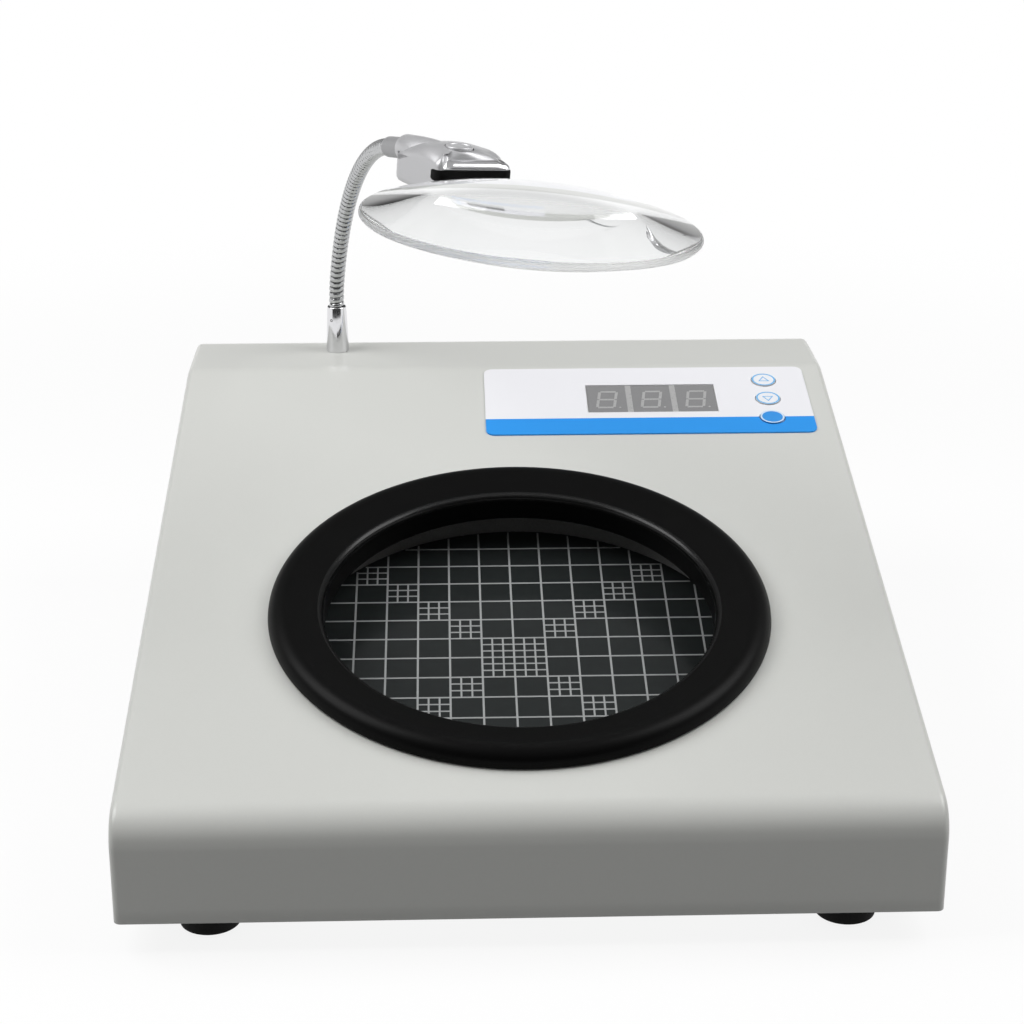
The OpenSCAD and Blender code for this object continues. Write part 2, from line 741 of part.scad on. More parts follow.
module display_digits() color([0.35, 0.35, 0.35]) on_panel() translate([window_u, window_v, 0])
    for (i = [0 : digit_count - 1])
        translate([(i - (digit_count - 1) / 2) * (digit_w + digit_gap), 0, 0])
            slab([digit_w, window_h - window_fit * 2], -board_top, -digit_top);

module key(i) on_panel() translate([key_u, key_pitch * i, 0]) {
    translate([0, 0, key_seat]) cylinder(r = key_d / 2, h = key_t);
    translate([0, 0, -stem_low]) cylinder(r = key_stem_r, h = stem_low + key_seat + key_t / 2);
}

module key_up() color([0.90, 0.92, 0.95]) key(1);
module key_down() color([0.90, 0.92, 0.95]) key(0);
module key_reset() color([0.22, 0.61, 0.92]) key(-1);

module control_board() color([0.10, 0.35, 0.20]) on_panel() difference() {
    slab([board_w, board_h], -board_top - board_t, -board_top);
    corners(board_w - board_post_in * 2, board_h - board_post_in * 2)
        translate([0, 0, -board_top - board_t - cut]) cylinder(r = screw_r + fit, h = board_t + cut * 2);
}

module tact_switches() color([0.12, 0.12, 0.13]) on_panel() for (i = [-1 : 1])
    translate([key_u, key_pitch * i, -board_top]) {
        slab([tact_body.x, tact_body.y], 0, tact_body.z);
        cylinder(r = tact_plunger_r, h = tact_body.z + tact_plunger_h);
    }

module buzzer() color([0.08, 0.08, 0.09]) on_panel()
    translate([buzzer_u, 0, -board_top - board_t - buzzer_h]) difference() {
        cylinder(r = buzzer_r, h = buzzer_h);
        translate([0, 0, -cut]) cylinder(r = screw_r, h = cut + buzzer_h / 4);
    }

module board_screws() color([0.75, 0.75, 0.76]) on_panel()
    corners(board_w - board_post_in * 2, board_h - board_post_in * 2)
        translate([0, 0, -board_top - board_t])
            screw(screw_r, screw_head_r, screw_head_t, board_t + screw_l - fit * 2);

module neck_ferrule() color([0.80, 0.80, 0.81]) translate(neck_foot) difference() {
    union() {
        cylinder(r1 = ferrule_d / 2, r2 = ferrule_top_r, h = ferrule_h);
        translate([0, 0, -stud_l]) cylinder(r = stud_r, h = stud_l + cut);
    }
    translate([0, 0, -stud_l - cut]) cylinder(r = neck_bore / 2, h = stud_l + ferrule_h + cut * 2);
    translate([0, 0, ferrule_h - neck_socket]) cylinder(r = neck_d / 2 + run, h = neck_socket + cut);
}

module neck_washer() color([0.72, 0.72, 0.73])
    translate(neck_foot - [0, 0, sheet + neck_washer_t]) difference() {
        cylinder(r = neck_washer_r, h = neck_washer_t);
        translate([0, 0, -cut]) cylinder(r = stud_r + fit * 2, h = neck_washer_t + cut * 2);
    }

module neck_nut() color([0.74, 0.70, 0.52])
    translate(neck_foot - [0, 0, sheet + neck_washer_t + neck_nut_h]) difference() {
        cylinder(r = neck_nut_r, h = neck_nut_h, $fn = 6);
        translate([0, 0, -cut]) cylinder(r = stud_r + fit / 2, h = neck_nut_h + cut * 2);
    }

// One length of the ribbed tube, with its bore and tapered ends
module neck_link(from, to) {
    ribs = floor((to - from - neck_chamfer * 2) / rib_pitch);
    start = (from + to - ribs * rib_pitch) / 2;
    crest = neck_d / 2;
    outer = concat(
        [[from, neck_end_r]],
        [for (i = [0 : ribs - 1]) each [
            [start + (i + 0.25) * rib_pitch, crest],
            [start + (i + 0.75) * rib_pitch, crest - groove_d]
        ]],
        [[to, neck_end_r]]
    );
    steps = ceil((to - from) / bore_step);
    inner = [for (i = [0 : steps]) [from + (to - from) * i / steps, neck_bore / 2]];
    n = len(outer);
    m = len(inner);
    polyhedron(
        points = [for (p = concat(outer, inner)) each neck_ring(p[0], p[1])],
        faces = concat(
            band(n, neck_sides, 0, true),
            band(m, neck_sides, n * neck_sides, false),
            annulus(0, n * neck_sides, neck_sides, false),
            annulus((n - 1) * neck_sides, (n + m - 1) * neck_sides, neck_sides, true)
        )
    );
}

module neck_lower() color([0.62, 0.63, 0.63])
    neck_link(run - neck_socket, lower_to - link_gap / 2);
module neck_middle() color([0.62, 0.63, 0.63])
    neck_link(lower_to + link_gap / 2, middle_to - link_gap / 2);
module neck_upper() color([0.62, 0.63, 0.63])
    neck_link(middle_to + link_gap / 2, sleeve_from - link_gap / 2);

module head_sleeve() color([0.55, 0.55, 0.56]) along_neck(neck_l - sleeve_l / 2)
    translate([0, 0, link_gap / 2 - sleeve_l / 2]) difference() {
        union() {
            cylinder(r1 = neck_end_r, r2 = sleeve_d / 2, h = sleeve_taper);
            translate([0, 0, sleeve_taper])
                cylinder(r = sleeve_d / 2, h = sleeve_l - link_gap / 2 - sleeve_taper);
        }
        translate([0, 0, -cut]) cylinder(r = neck_bore / 2, h = sleeve_l + cut * 2);
    }

// Plan of the head: square to the lens at the front, a round boss at the back left
module head_plan() hull() {
    r = head_corner;
    for (x = [head_left + r, head_right - r]) translate([x, r]) circle(r = r, $fn = 32);
    translate([head_right - head_back_r, gasket_l + r]) circle(r = head_back_r, $fn = 32);
    translate([boss_at.x + boss_in, boss_at.y]) circle(r = boss_r, $fn = 32);
}

module head_shell() color([0.78, 0.78, 0.79]) difference() {
    union() {
        at_head() intersection() {
            translate([0, 0, -head_low]) linear_extrude(height = head_low + head_h + cut) head_plan();
            translate([dome_at.x, dome_at.y, head_h - dome_r]) sphere(r = dome_r, $fn = 96);
        }
        along_neck(neck_l - collar_l / 2 + collar_in)
            cylinder(r = collar_r, h = collar_l, center = true);
    }
    along_neck(neck_l - sleeve_l / 2)
        cylinder(r = sleeve_d / 2 + fit / 2, h = sleeve_l + fit * 2, center = true);
    at_head() {
        translate([gasket_left - fit, -cut, -head_low - cut])
            cube([head_w + cut, gasket_l + cut + fit, head_low + gasket_high + cut]);
        translate([button_at.x, button_at.y, button_pocket]) cylinder(r = button_d / 2 + run, h = head_h);
        for (s = [-1, 1]) translate([head_shift + s * jaw_screw_x, jaw_screw_y, 0])
            cylinder(r = jaw_screw_r + fit / 2, h = gasket_high + jaw_screw_bite + fit * 2);
    }
}

module head_gasket() color([0.05, 0.05, 0.06]) at_head() difference() {
    translate([0, 0, gasket_low]) linear_extrude(height = gasket_high - gasket_low) intersection() {
        head_plan();
        translate([gasket_left, 0]) square([head_w, gasket_l]);
    }
    for (s = [-1, 1]) translate([head_shift + s * jaw_screw_x, jaw_screw_y, 0])
        cylinder(r = jaw_screw_r + fit, h = gasket_high + cut);
}

module head_jaw() color([0.78, 0.78, 0.79]) at_head() difference() {
    translate([0, 0, -head_low]) linear_extrude(height = head_low + jaw_top) intersection() {
        head_plan();
        translate([gasket_left, 0]) square([head_w, jaw_l]);
    }
    for (s = [-1, 1]) translate([head_shift + s * jaw_screw_x, jaw_screw_y, -head_low - cut]) {
        cylinder(r = jaw_screw_r + fit, h = head_low + cut * 2);
        cylinder(r = jaw_screw_head_r + fit, h = jaw_screw_head_t + cut);
    }
    for (s = [-1, 1]) translate([head_shift + s * head_led_x, head_led_y, -head_low - cut])
        cylinder(r = head_led_r + fit, h = head_low + cut * 2);
}

module jaw_screws() color([0.72, 0.72, 0.73]) at_head() for (s = [-1, 1])
    translate([head_shift + s * jaw_screw_x, jaw_screw_y, jaw_screw_head_t - head_low])
        screw(jaw_screw_r, jaw_screw_head_r, jaw_screw_head_t,
            head_low - jaw_screw_head_t + gasket_high + jaw_screw_bite);

module head_button() color([0.74, 0.74, 0.75]) at_head()
    translate([button_at.x, button_at.y, button_low]) cylinder(r = button_d / 2, h = button_h);

module lens() color([0.92, 0.95, 0.95, 0.35]) at_lens() difference() {
    sink = sqrt(lens_face_r * lens_face_r - lens_r * lens_r) - lens_edge / 2;
    union() {
        intersection() {
            cylinder(r = lens_r, h = lens_r, center = true, $fn = 128);
            translate([0, 0, -sink]) sphere(r = lens_face_r, $fn = 128);
            translate([0, 0, sink]) sphere(r = lens_face_r, $fn = 128);
        }
        rotate([0, 0, head_az]) translate([head_shift - tab_w / 2, lens_r - lens_edge, tab_low])
            cube([tab_w, lens_edge + head_gap + tab_l, tab_high - tab_low]);
    }
    rotate([0, 0, head_az]) translate([0, lens_reach, 0]) for (s = [-1, 1])
        translate([head_shift + s * jaw_screw_x, jaw_screw_y, tab_low - cut])
            cylinder(r = jaw_screw_r + fit, h = tab_high - tab_low + cut * 2);
}

module head_switch() color([0.12, 0.12, 0.13]) at_head()
    translate([button_at.x, button_at.y, button_pocket]) {
        plunger = button_low - button_travel - fit - button_pocket;
        cylinder(r = head_switch_r, h = head_switch_h);
        cylinder(r = head_plunger_r, h = plunger);
    }

module head_leds() color([0.95, 0.95, 0.88]) at_head() for (s = [-1, 1])
    translate([head_shift + s * head_led_x, head_led_y, -head_low])
        cylinder(r = head_led_r, h = head_low + jaw_top - fit);

module power_inlet() color([0.07, 0.07, 0.07]) at_rear(inlet_side) difference() {
    union() {
        linear_extrude(height = rear_proud) rounded_sheet(inlet_w, inlet_h, inlet_corner);
        slab([inlet_body.x, inlet_body.y], -inlet_body.z, cut);
    }
    translate([0, 0, rear_proud - inlet_socket.z])
        linear_extrude(height = inlet_socket.z + cut) socket_outline();
    for (s = [-1, 1]) translate([s * inlet_pitch / 2, 0, 0]) {
        translate([0, 0, -cut]) cylinder(r = inlet_screw_r + fit, h = rear_proud + cut * 2);
        translate([0, 0, rear_proud - inlet_screw_t - fit])
            cylinder(r = inlet_screw_head_r + fit, h = inlet_screw_t + cut);
    }
}

module socket_outline() {
    w = inlet_socket.x / 2;
    h = inlet_socket.y / 2;
    polygon([[-w, -h], [w, -h], [w, h - inlet_chamfer], [w - inlet_chamfer, h], [inlet_chamfer - w, h],
        [-w, h - inlet_chamfer]]);
}

module inlet_pins() color([0.80, 0.78, 0.70]) at_rear(inlet_side)
    for (p = [[-pin_spread, -pin_drop], [pin_spread, -pin_drop], [0, pin_drop]])
        translate([p.x, p.y, rear_proud - inlet_socket.z])
            slab([pin_size.x, pin_size.y], 0, pin_size.z);

module inlet_screws() color([0.75, 0.75, 0.76]) at_rear(inlet_side) for (s = [-1, 1])
    translate([s * inlet_pitch / 2, 0, rear_proud - inlet_screw_t - fit]) rotate([180, 0, 0])
        screw(inlet_screw_r, inlet_screw_head_r, inlet_screw_t, rear_proud + sheet + screw_l / 2);

module rocker_frame() color([0.07, 0.07, 0.07]) at_rear(switch_side) difference() {
    union() {
        slab(frame_out, -frame_depth, frame_proud);
        linear_extrude(height = frame_proud)
            rounded_sheet(frame_out.x + frame_lip * 2, frame_out.y + frame_lip * 2, frame_corner);
    }
    slab(frame_win, frame_floor - frame_depth, frame_proud + cut);
    translate([0, 0, -rocker_pivot]) rotate([0, 90, 0])
        cylinder(r = rocker_pin_r + rocker_pin_fit, h = rocker_pin_l + fit * 2, center = true);
}

// The rocker rests tipped to its off side
module rocker() color([0.09, 0.09, 0.09]) at_rear(switch_side) translate([0, 0, -rocker_pivot])
    rotate([rocker_tilt, 0, 0]) {
        translate([0, 0, rocker_pivot]) rotate([90, 0, 90]) linear_extrude(height = rocker_w, center = true)
            polygon([
                [-rocker_h / 2, -rocker_low], [rocker_h / 2, -rocker_low], [rocker_h / 2, rocker_high],
                [0, -rocker_dip], [-rocker_h / 2, rocker_high]
            ]);
        rotate([0, 90, 0]) cylinder(r = rocker_pin_r, h = rocker_pin_l, center = true);
    }

module core_screw_places() {
    for (s = [-1, 1]) translate([core_at.x + s * (core_w + strap_ear) / 2, core_at.y, 0]) children();
}

// Laminated core with a wound bobbin through it, held down by a strap with two ears
module transformer() color([0.30, 0.30, 0.33]) difference() {
    translate([core_at.x, core_at.y, z_base]) {
        slab([core_w, core_d * core_share], 0, core_h);
        slab([core_w * coil_share, core_d], core_h * (1 - coil_share) / 2, core_h * (1 + coil_share) / 2);
        slab([core_w + strap_ear * 2, strap_w], 0, strap_t);
    }
    core_screw_places() translate([0, 0, z_base - cut]) cylinder(r = screw_r + fit, h = strap_t + cut * 2);
}

module transformer_screws() color([0.75, 0.75, 0.76]) core_screw_places()
    translate([0, 0, z_base + strap_t]) rotate([180, 0, 0])
        screw(screw_r, screw_head_r, screw_head_t, strap_t + base_t);

module on_supply() translate([supply_at.x, supply_at.y, z_base]) children();

module power_board() color([0.10, 0.35, 0.20]) on_supply() difference() {
    slab([supply_w, supply_d], supply_lift, supply_lift + board_t);
    corners(supply_w - supply_in * 2, supply_d - supply_in * 2)
        translate([0, 0, supply_lift - cut]) cylinder(r = post_tip_r + fit, h = board_t + cut * 2);
}

// A smoothing capacitor and a finned heat sink on the power board
module supply_parts() color([0.20, 0.22, 0.30]) on_supply() translate([0, 0, supply_lift + board_t]) {
    translate([-supply_w / 4, 0, 0]) cylinder(r = capacitor_r, h = capacitor_h);
    translate([supply_w / 5, 0, 0]) {
        slab([sink_size.x, sink_t], 0, sink_size.z);
        for (i = [0 : sink_fins - 1])
            translate([(i / (sink_fins - 1) - 0.5) * (sink_size.x - sink_t), 0, 0])
                slab([sink_t, sink_size.y], 0, sink_size.z);
    }
}

module power_posts() color([0.88, 0.88, 0.86]) on_supply()
    corners(supply_w - supply_in * 2, supply_d - supply_in * 2) {
        cylinder(r = supply_post_r, h = supply_lift);
        cylinder(r = post_tip_r, h = supply_lift + board_t + post_tip_r);
    }

housing();
base_plate();
base_screws();
feet();
foot_screws();
bezel_ring();
well_cup();
cup_nuts();
lamp_board();
lamp_leds();
grid_plate();
background_disc();
stage_carrier();
stage_posts();
stage_springs();
stage_switch();
overlay();
display_window();
display_digits();
key_up();
key_down();
key_reset();
control_board();
tact_switches();
buzzer();
board_screws();
neck_ferrule();
neck_washer();
neck_nut();
neck_lower();
neck_middle();
neck_upper();
head_sleeve();
head_shell();
head_gasket();
head_jaw();
jaw_screws();
head_button();
head_switch();
head_leds();
lens();
power_inlet();
inlet_pins();
inlet_screws();
rocker_frame();
rocker();
transformer();
transformer_screws();
power_board();
supply_parts();
power_posts();
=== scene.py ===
import json
import bmesh
import bpy
import numpy as np
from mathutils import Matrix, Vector


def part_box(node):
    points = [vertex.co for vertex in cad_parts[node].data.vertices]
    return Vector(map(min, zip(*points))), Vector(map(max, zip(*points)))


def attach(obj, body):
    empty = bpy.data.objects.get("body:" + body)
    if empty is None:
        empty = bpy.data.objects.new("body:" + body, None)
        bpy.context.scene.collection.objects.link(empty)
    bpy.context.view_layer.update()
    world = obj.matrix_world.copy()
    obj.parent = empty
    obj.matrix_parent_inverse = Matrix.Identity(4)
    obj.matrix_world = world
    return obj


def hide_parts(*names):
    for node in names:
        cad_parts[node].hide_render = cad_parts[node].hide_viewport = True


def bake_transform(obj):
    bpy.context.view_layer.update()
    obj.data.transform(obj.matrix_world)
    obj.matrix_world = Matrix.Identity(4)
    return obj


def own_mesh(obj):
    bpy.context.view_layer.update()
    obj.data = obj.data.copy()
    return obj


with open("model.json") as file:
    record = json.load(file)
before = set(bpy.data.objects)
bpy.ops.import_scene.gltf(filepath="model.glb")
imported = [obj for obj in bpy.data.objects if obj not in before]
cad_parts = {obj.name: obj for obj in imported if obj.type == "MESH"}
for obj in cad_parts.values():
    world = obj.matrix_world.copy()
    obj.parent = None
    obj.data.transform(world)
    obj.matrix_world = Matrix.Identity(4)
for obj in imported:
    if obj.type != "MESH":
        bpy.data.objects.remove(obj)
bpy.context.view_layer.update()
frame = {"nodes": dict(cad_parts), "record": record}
record = frame["record"]
mm = 0.001


# Colours and finishes

mottle = {"span": (0.3, 0.7), "detail": 3, "bumpDepth": 0.02}


def tone(red, green, blue):
    # screen colour, 0 to 255, to the linear colour that a shader takes: a straight foot, then a power
    part = np.array([red, green, blue]) / 255
    return tuple(np.where(part < 0.04045, part / 12.92, ((part + 0.055) / 1.055) ** 2.4))


def feed(tree, node, inputs):
    # each input takes a plain value, or a link where it is given another node's output
    for socket, value in inputs.items():
        if isinstance(value, bpy.types.NodeSocket):
            tree.links.new(value, node.inputs[socket])
        else:
            node.inputs[socket].default_value = value


def addNode(tree, kind, inputs=None, operation=None):
    # a shader node of some kind, with its operation set before its inputs
    node = tree.nodes.new("ShaderNode" + kind)
    if operation:
        node.operation = operation
    feed(tree, node, inputs or {})
    return node


def ranged(tree, value, span, limits, curve="LINEAR"):
    # a value that runs over a span, moved to run between two limits
    node = addNode(tree, "MapRange", {
        "Value": value, "From Min": span[0], "From Max": span[1], "To Min": limits[0], "To Max": limits[1],
    })
    node.interpolation_type = curve
    return node.outputs["Result"]


def grainNoise(tree, look):
    # noise on the object's own coordinates, drawn out along an axis where the look says so
    place = addNode(tree, "TexCoord").outputs["Object"]
    stretch = addNode(tree, "Mapping", {"Vector": place, "Scale": look.get("stretch", (1, 1, 1))})
    inputs = {"Vector": stretch.outputs["Vector"], "Scale": look["grain"], "Detail": mottle["detail"]}
    return addNode(tree, "TexNoise", inputs).outputs["Fac"]


def shaded(tree, noise, color, spread):
    # a colour that goes with the noise from one share darker to the same share lighter
    ramp = addNode(tree, "ValToRGB", {"Fac": noise})
    for i, factor in enumerate((1 - spread, 1 + spread)):
        element = ramp.color_ramp.elements[i]
        element.position = mottle["span"][i]
        element.color = (*[min(1, c * factor) for c in color], 1)
    return ramp.outputs["Color"]


def makeFinish(name, look):
    # a finish with mottled colour, uneven gloss and a fine bump, all from one grain
    finish = bpy.data.materials.new(name)
    finish.use_nodes = True
    tree = finish.node_tree
    shader = tree.nodes["Principled BSDF"]
    noise = grainNoise(tree, look)
    color = (*look["color"], 1)
    if look.get("spread"):
        color = shaded(tree, noise, look["color"], look["spread"])
    feed(tree, shader, {
        "Base Color": color, "Metallic": look.get("metal", 0.0), "IOR": look.get("ior", 1.5),
        "Specular IOR Level": look.get("spec", 0.5), "Transmission Weight": look.get("clear", 0.0),
        "Roughness": ranged(tree, noise, mottle["span"], look["rough"]),
    })
    if look.get("bump"):
        relief = {"Height": noise, "Strength": look["bump"], "Distance": mottle["bumpDepth"] * mm}
        feed(tree, shader, {"Normal": addNode(tree, "Bump", relief).outputs["Normal"]})
    return finish


looks = {
    "paint": dict(color=tone(206, 207, 203), spread=0.006, rough=(0.28, 0.32), grain=1400, bump=0.02),
    "plate_steel": dict(color=tone(176, 178, 176), metal=1, spread=0.05, rough=(0.34, 0.5), grain=900,
                        stretch=(0.04, 1, 1), bump=0.1),
    "screw_steel": dict(color=tone(190, 190, 192), metal=1, spread=0.04, rough=(0.25, 0.4), grain=3000),
    "rubber_black": dict(color=tone(12, 12, 12), spread=0.15, rough=(0.7, 0.82), spec=0.15, grain=2500,
                         bump=0.2),
    "ring_black": dict(color=tone(4, 4, 4), spread=0.08, rough=(0.36, 0.44), spec=0.09, grain=2600,
                       bump=0.05),
    "ring_lip": dict(color=tone(8, 8, 8), spread=0.08, rough=(0.22, 0.28), spec=0.3, grain=2600),
    "well_black": dict(color=tone(164, 165, 164), spread=0.1, rough=(0.5, 0.6), spec=0.2, grain=2000,
                       bump=0.1),
    "lamp_white": dict(color=tone(232, 233, 230), spread=0.02, rough=(0.3, 0.4), grain=1500),
    "lamp_lens": dict(color=tone(250, 244, 210), spread=0.02, rough=(0.15, 0.2), grain=3000),
    "background_black": dict(color=tone(12, 12, 12), spread=0.1, rough=(0.7, 0.8), grain=2500),
    "carrier_black": dict(color=tone(18, 18, 19), metal=0.6, spread=0.1, rough=(0.4, 0.5), grain=2500),
    "switch_black": dict(color=tone(30, 30, 31), spread=0.1, rough=(0.4, 0.55), grain=2500, bump=0.1),
    "window_grey": dict(color=tone(134, 134, 135), spread=0.02, rough=(0.16, 0.22), grain=900),
    "digit_grey": dict(color=tone(120, 120, 121), spread=0.03, rough=(0.4, 0.5), grain=1500),
    "key_white": dict(color=tone(234, 236, 241), spread=0.01, rough=(0.3, 0.36), grain=1800, bump=0.06),
    "key_blue": dict(color=tone(48, 146, 226), spread=0.02, rough=(0.3, 0.36), grain=1800, bump=0.06),
    "board_green": dict(color=tone(38, 96, 60), spread=0.08, rough=(0.3, 0.42), grain=800),
    "chrome": dict(color=tone(226, 226, 228), metal=1, spread=0.015, rough=(0.06, 0.11), grain=1500),
    "neck_steel": dict(color=tone(190, 191, 192), metal=1, spread=0.05, rough=(0.14, 0.22), grain=2200),
    # painted shade for the bottoms of the hose's grooves
    "neck_groove_shade": dict(color=tone(74, 74, 75), metal=1, spread=0.05, rough=(0.4, 0.5), grain=2200),
    "sleeve_grey": dict(color=tone(150, 150, 152), metal=0.5, spread=0.03, rough=(0.36, 0.46), grain=1800,
                        bump=0.06),
    "silver_plastic": dict(color=tone(198, 198, 200), metal=0.45, spread=0.03, rough=(0.32, 0.40), grain=2600,
                           bump=0.06),
    "fitting_black": dict(color=tone(24, 24, 25), spread=0.1, rough=(0.42, 0.55), grain=2400, bump=0.15),
    "pin_brass": dict(color=tone(214, 208, 186), metal=1, spread=0.04, rough=(0.2, 0.3), grain=2500),
    "core_steel": dict(color=tone(78, 78, 84), metal=0.8, spread=0.1, rough=(0.4, 0.55), grain=900,
                       stretch=(0.1, 1, 8)),
    "sink_aluminium": dict(color=tone(170, 172, 176), metal=1, spread=0.05, rough=(0.35, 0.45), grain=1800),
    "post_nylon": dict(color=tone(228, 227, 222), spread=0.02, rough=(0.4, 0.5), grain=1800),
    "plate_glass": dict(color=tone(36, 39, 39), spread=0.05, rough=(0.10, 0.15), spec=0.15, grain=300),
    "lens_clear": dict(color=(0.975, 0.985, 0.985), rough=(0.0, 0.02), grain=200, clear=1.0, ior=1.49),
    "lens_edge": dict(color=(0.985, 0.99, 0.99), rough=(0.46, 0.52), grain=1500, clear=1.0, ior=1.49),
    "polished_silver": dict(color=tone(222, 222, 224), metal=1, spread=0.02, rough=(0.2, 0.26), grain=2200),
    "grid_white": dict(color=tone(152, 154, 154), spread=0.04, rough=(0.5, 0.6), spec=0.2, grain=2500),
    "segment_grey": dict(color=tone(170, 170, 170), spread=0.02, rough=(0.25, 0.35), grain=1500),
    "print_blue": dict(color=tone(112, 182, 232), spread=0.02, rough=(0.3, 0.4), grain=1500),
    "print_pale": dict(color=tone(206, 226, 242), spread=0.02, rough=(0.3, 0.4), grain=1500),
}
finishes = {name: makeFinish(name, look) for name, look in looks.items()}
print("finishes:", len(finishes))


# Grids, outlines and pieces

weld = {"join": 0.002, "sliver": 0.0005}


def unit(vector):
    # a vector, or each of several, at a length of one
    return vector / np.linalg.norm(vector, axis=-1, keepdims=True)


def circle(angle):
    # places at an angle on the circle of radius one
    return np.stack([np.cos(angle), np.sin(angle)], -1)


def fullTurn(count):
    # even steps of angle, once round
    return np.linspace(0, 2 * np.pi, count, endpoint=False)


def gridFaces(rows, cols, closeRows=False, closeCols=False):
    # quads between neighbours on a grid of points that is numbered row by row
    row = np.arange(rows if closeRows else rows - 1)
    col = np.arange(cols if closeCols else cols - 1)
    a, b = np.meshgrid(row, col, indexing="ij")
    nextA, nextB = (a + 1) % rows, (b + 1) % cols
    quads = np.stack([a * cols + b, a * cols + nextB, nextA * cols + nextB, nextA * cols + b], -1)
    return quads.reshape(-1, 4)


def cappedFaces(rows, cols):
    # quads between closed rings of points, then one flat face on the first ring and one on the last
    ends = [list(range(cols)), list(range((rows - 1) * cols, rows * cols))]
    return gridFaces(rows, cols, closeCols=True).tolist() + ends


def joined(patches):
    # several (points, faces) pairs as one, with the finish number of each face where a patch gives it
    points, faces, marks, count = [], [], [], 0
    for patchPoints, patchFaces, *patchMarks in patches:
        flat = np.asarray(patchPoints, float).reshape(-1, 3)
        points.append(flat)
        faces += [[int(i) + count for i in face] for face in patchFaces]
        marks += list(patchMarks[0]) if patchMarks else [0] * len(patchFaces)
        count += len(flat)
    return np.concatenate(points), faces, marks


def addObject(name, data):
    # a new thing in the scene, with its mesh, light or camera
    thing = bpy.data.objects.new(name, data)
    bpy.context.scene.collection.objects.link(thing)
    return thing


def makePiece(name, patches, finish, body=None, slot=None, nodes=(), sharp=38.0):
    # one mesh from its patches, with seams and poles closed and its faces turned outwards
    points, faces, marks = joined(patches)
    wanted = [finish] if isinstance(finish, str) else list(finish)
    mesh = bpy.data.meshes.new(name)
    mesh.from_pydata(points, [], faces)
    for one in wanted:
        mesh.materials.append(finishes[one])
    mesh.polygons.foreach_set("material_index", np.array(marks, np.int32))
    work = bmesh.new()
    work.from_mesh(mesh)
    bmesh.ops.remove_doubles(work, verts=work.verts, dist=weld["join"] * mm)
    bmesh.ops.dissolve_degenerate(work, edges=work.edges, dist=weld["sliver"] * mm)
    bmesh.ops.recalc_face_normals(work, faces=work.faces)
    work.to_mesh(mesh)
    work.free()
    mesh.polygons.foreach_set("use_smooth", np.ones(len(mesh.polygons), bool))
    mesh.set_sharp_from_angle(angle=np.radians(sharp))
    piece = addObject(name, mesh)
    slot or wanted[0]
    if body:
        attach(piece, body)
    if nodes:
        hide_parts(*nodes)
    return piece


def arcLine(centre, radius, start, stop, steps):
    # points on an arc, angles in degrees, and their outward normals
    normal = circle(np.radians(np.linspace(start, stop, steps + 1)))
    return np.array(centre) + radius * normal, normal


def straightLine(start, stop, share):
    # points on a straight line at the given shares of it, and the normal on its left
    start, stop = np.array(start, float), np.array(stop, float)
    way = unit(stop - start)
    points = start + np.asarray(share)[:, None] * (stop - start)
    return points, np.repeat([[-way[1], way[0]]], len(points), 0)


def filleted(corners, steps=6, closed=True):
    # an outline through (x, y, radius) corners, each corner an arc that touches both its sides
    spots = np.array([c[:2] for c in corners], float)
    out = []
    for i, corner in enumerate(corners):
        radius = corner[2]
        if radius == 0 or (not closed and i in (0, len(corners) - 1)):
            out.append(spots[i][None])
            continue
        back = unit(spots[i - 1] - spots[i])
        ahead = unit(spots[(i + 1) % len(corners)] - spots[i])
        half = np.arccos(np.clip(back @ ahead, -1, 1)) / 2
        centre = spots[i] + unit(back + ahead) * radius / np.sin(half)
        first = back * radius / np.tan(half) + spots[i] - centre
        last = ahead * radius / np.tan(half) + spots[i] - centre
        turn = np.arctan2(first[0] * last[1] - first[1] * last[0], first @ last)
        angle = np.arctan2(first[1], first[0]) + np.linspace(0, turn, steps + 1)
        out.append(centre + radius * circle(angle))
    return np.concatenate(out)


def turned(profile, place, turns=96, closed=True):
    # a profile of (radius, height) pairs carried round the height axis of a place
    radius, height = np.asarray(profile, float).T[..., None]
    x, y = circle(fullTurn(turns)).T
    return place(radius * x, radius * y, height), gridFaces(len(profile), turns, closed, True)


def bars(corners, low, high, place):
    # flat bars, each from four corners in the plane, between two heights
    corners = np.asarray(corners, float)
    flat = np.concatenate([corners, corners], 1)
    height = np.r_[[low] * 4, [high] * 4]
    points = place(flat[..., 0], flat[..., 1], height[None])
    cell = np.array([[0, 1, 2, 3], [4, 5, 6, 7], [0, 1, 5, 4], [1, 2, 6, 5], [2, 3, 7, 6], [3, 0, 4, 7]])
    faces = np.arange(len(corners))[:, None, None] * len(height) + cell
    return points, faces.reshape(-1, 4)


def barBetween(start, stop, width):
    # the four corners of a bar of some width along a line
    start, stop = np.array(start, float), np.array(stop, float)
    way = unit(stop - start)
    side = np.array([-way[1], way[0]]) * width / 2
    return [start - side, stop - side, stop + side, start + side]


def eased(x, low, high):
    # a smooth step from zero at low to one at high
    t = np.clip((x - low) / (high - low), 0, 1)
    return t * t * (3 - 2 * t)


# Places: on the ground, and on the slope from the centre of the ring

well = {"lip": 2.7, "skirt": 6.0}
mount = next(m for m in record["mounts"] if m["name"] == "dish_well")
slopeUp = np.array(mount["axis"])
slopeAlong = np.array([0, slopeUp[2], -slopeUp[1]])
slopeAngle = np.degrees(np.arctan2(-slopeUp[1], slopeUp[2]))
ringCentre = np.array(mount["pos_m"]) / mm - slopeUp * (well["lip"] - well["skirt"]) / 2
worldAxes = np.eye(3)


def placeAt(origin, axes):
    # turns places in millimetres along three axes from an origin into metres in the frame
    def place(x, y, z):
        x, y, z = np.broadcast_arrays(x, y, z)
        return (origin + x[..., None] * axes[0] + y[..., None] * axes[1] + z[..., None] * axes[2]) * mm

    return place


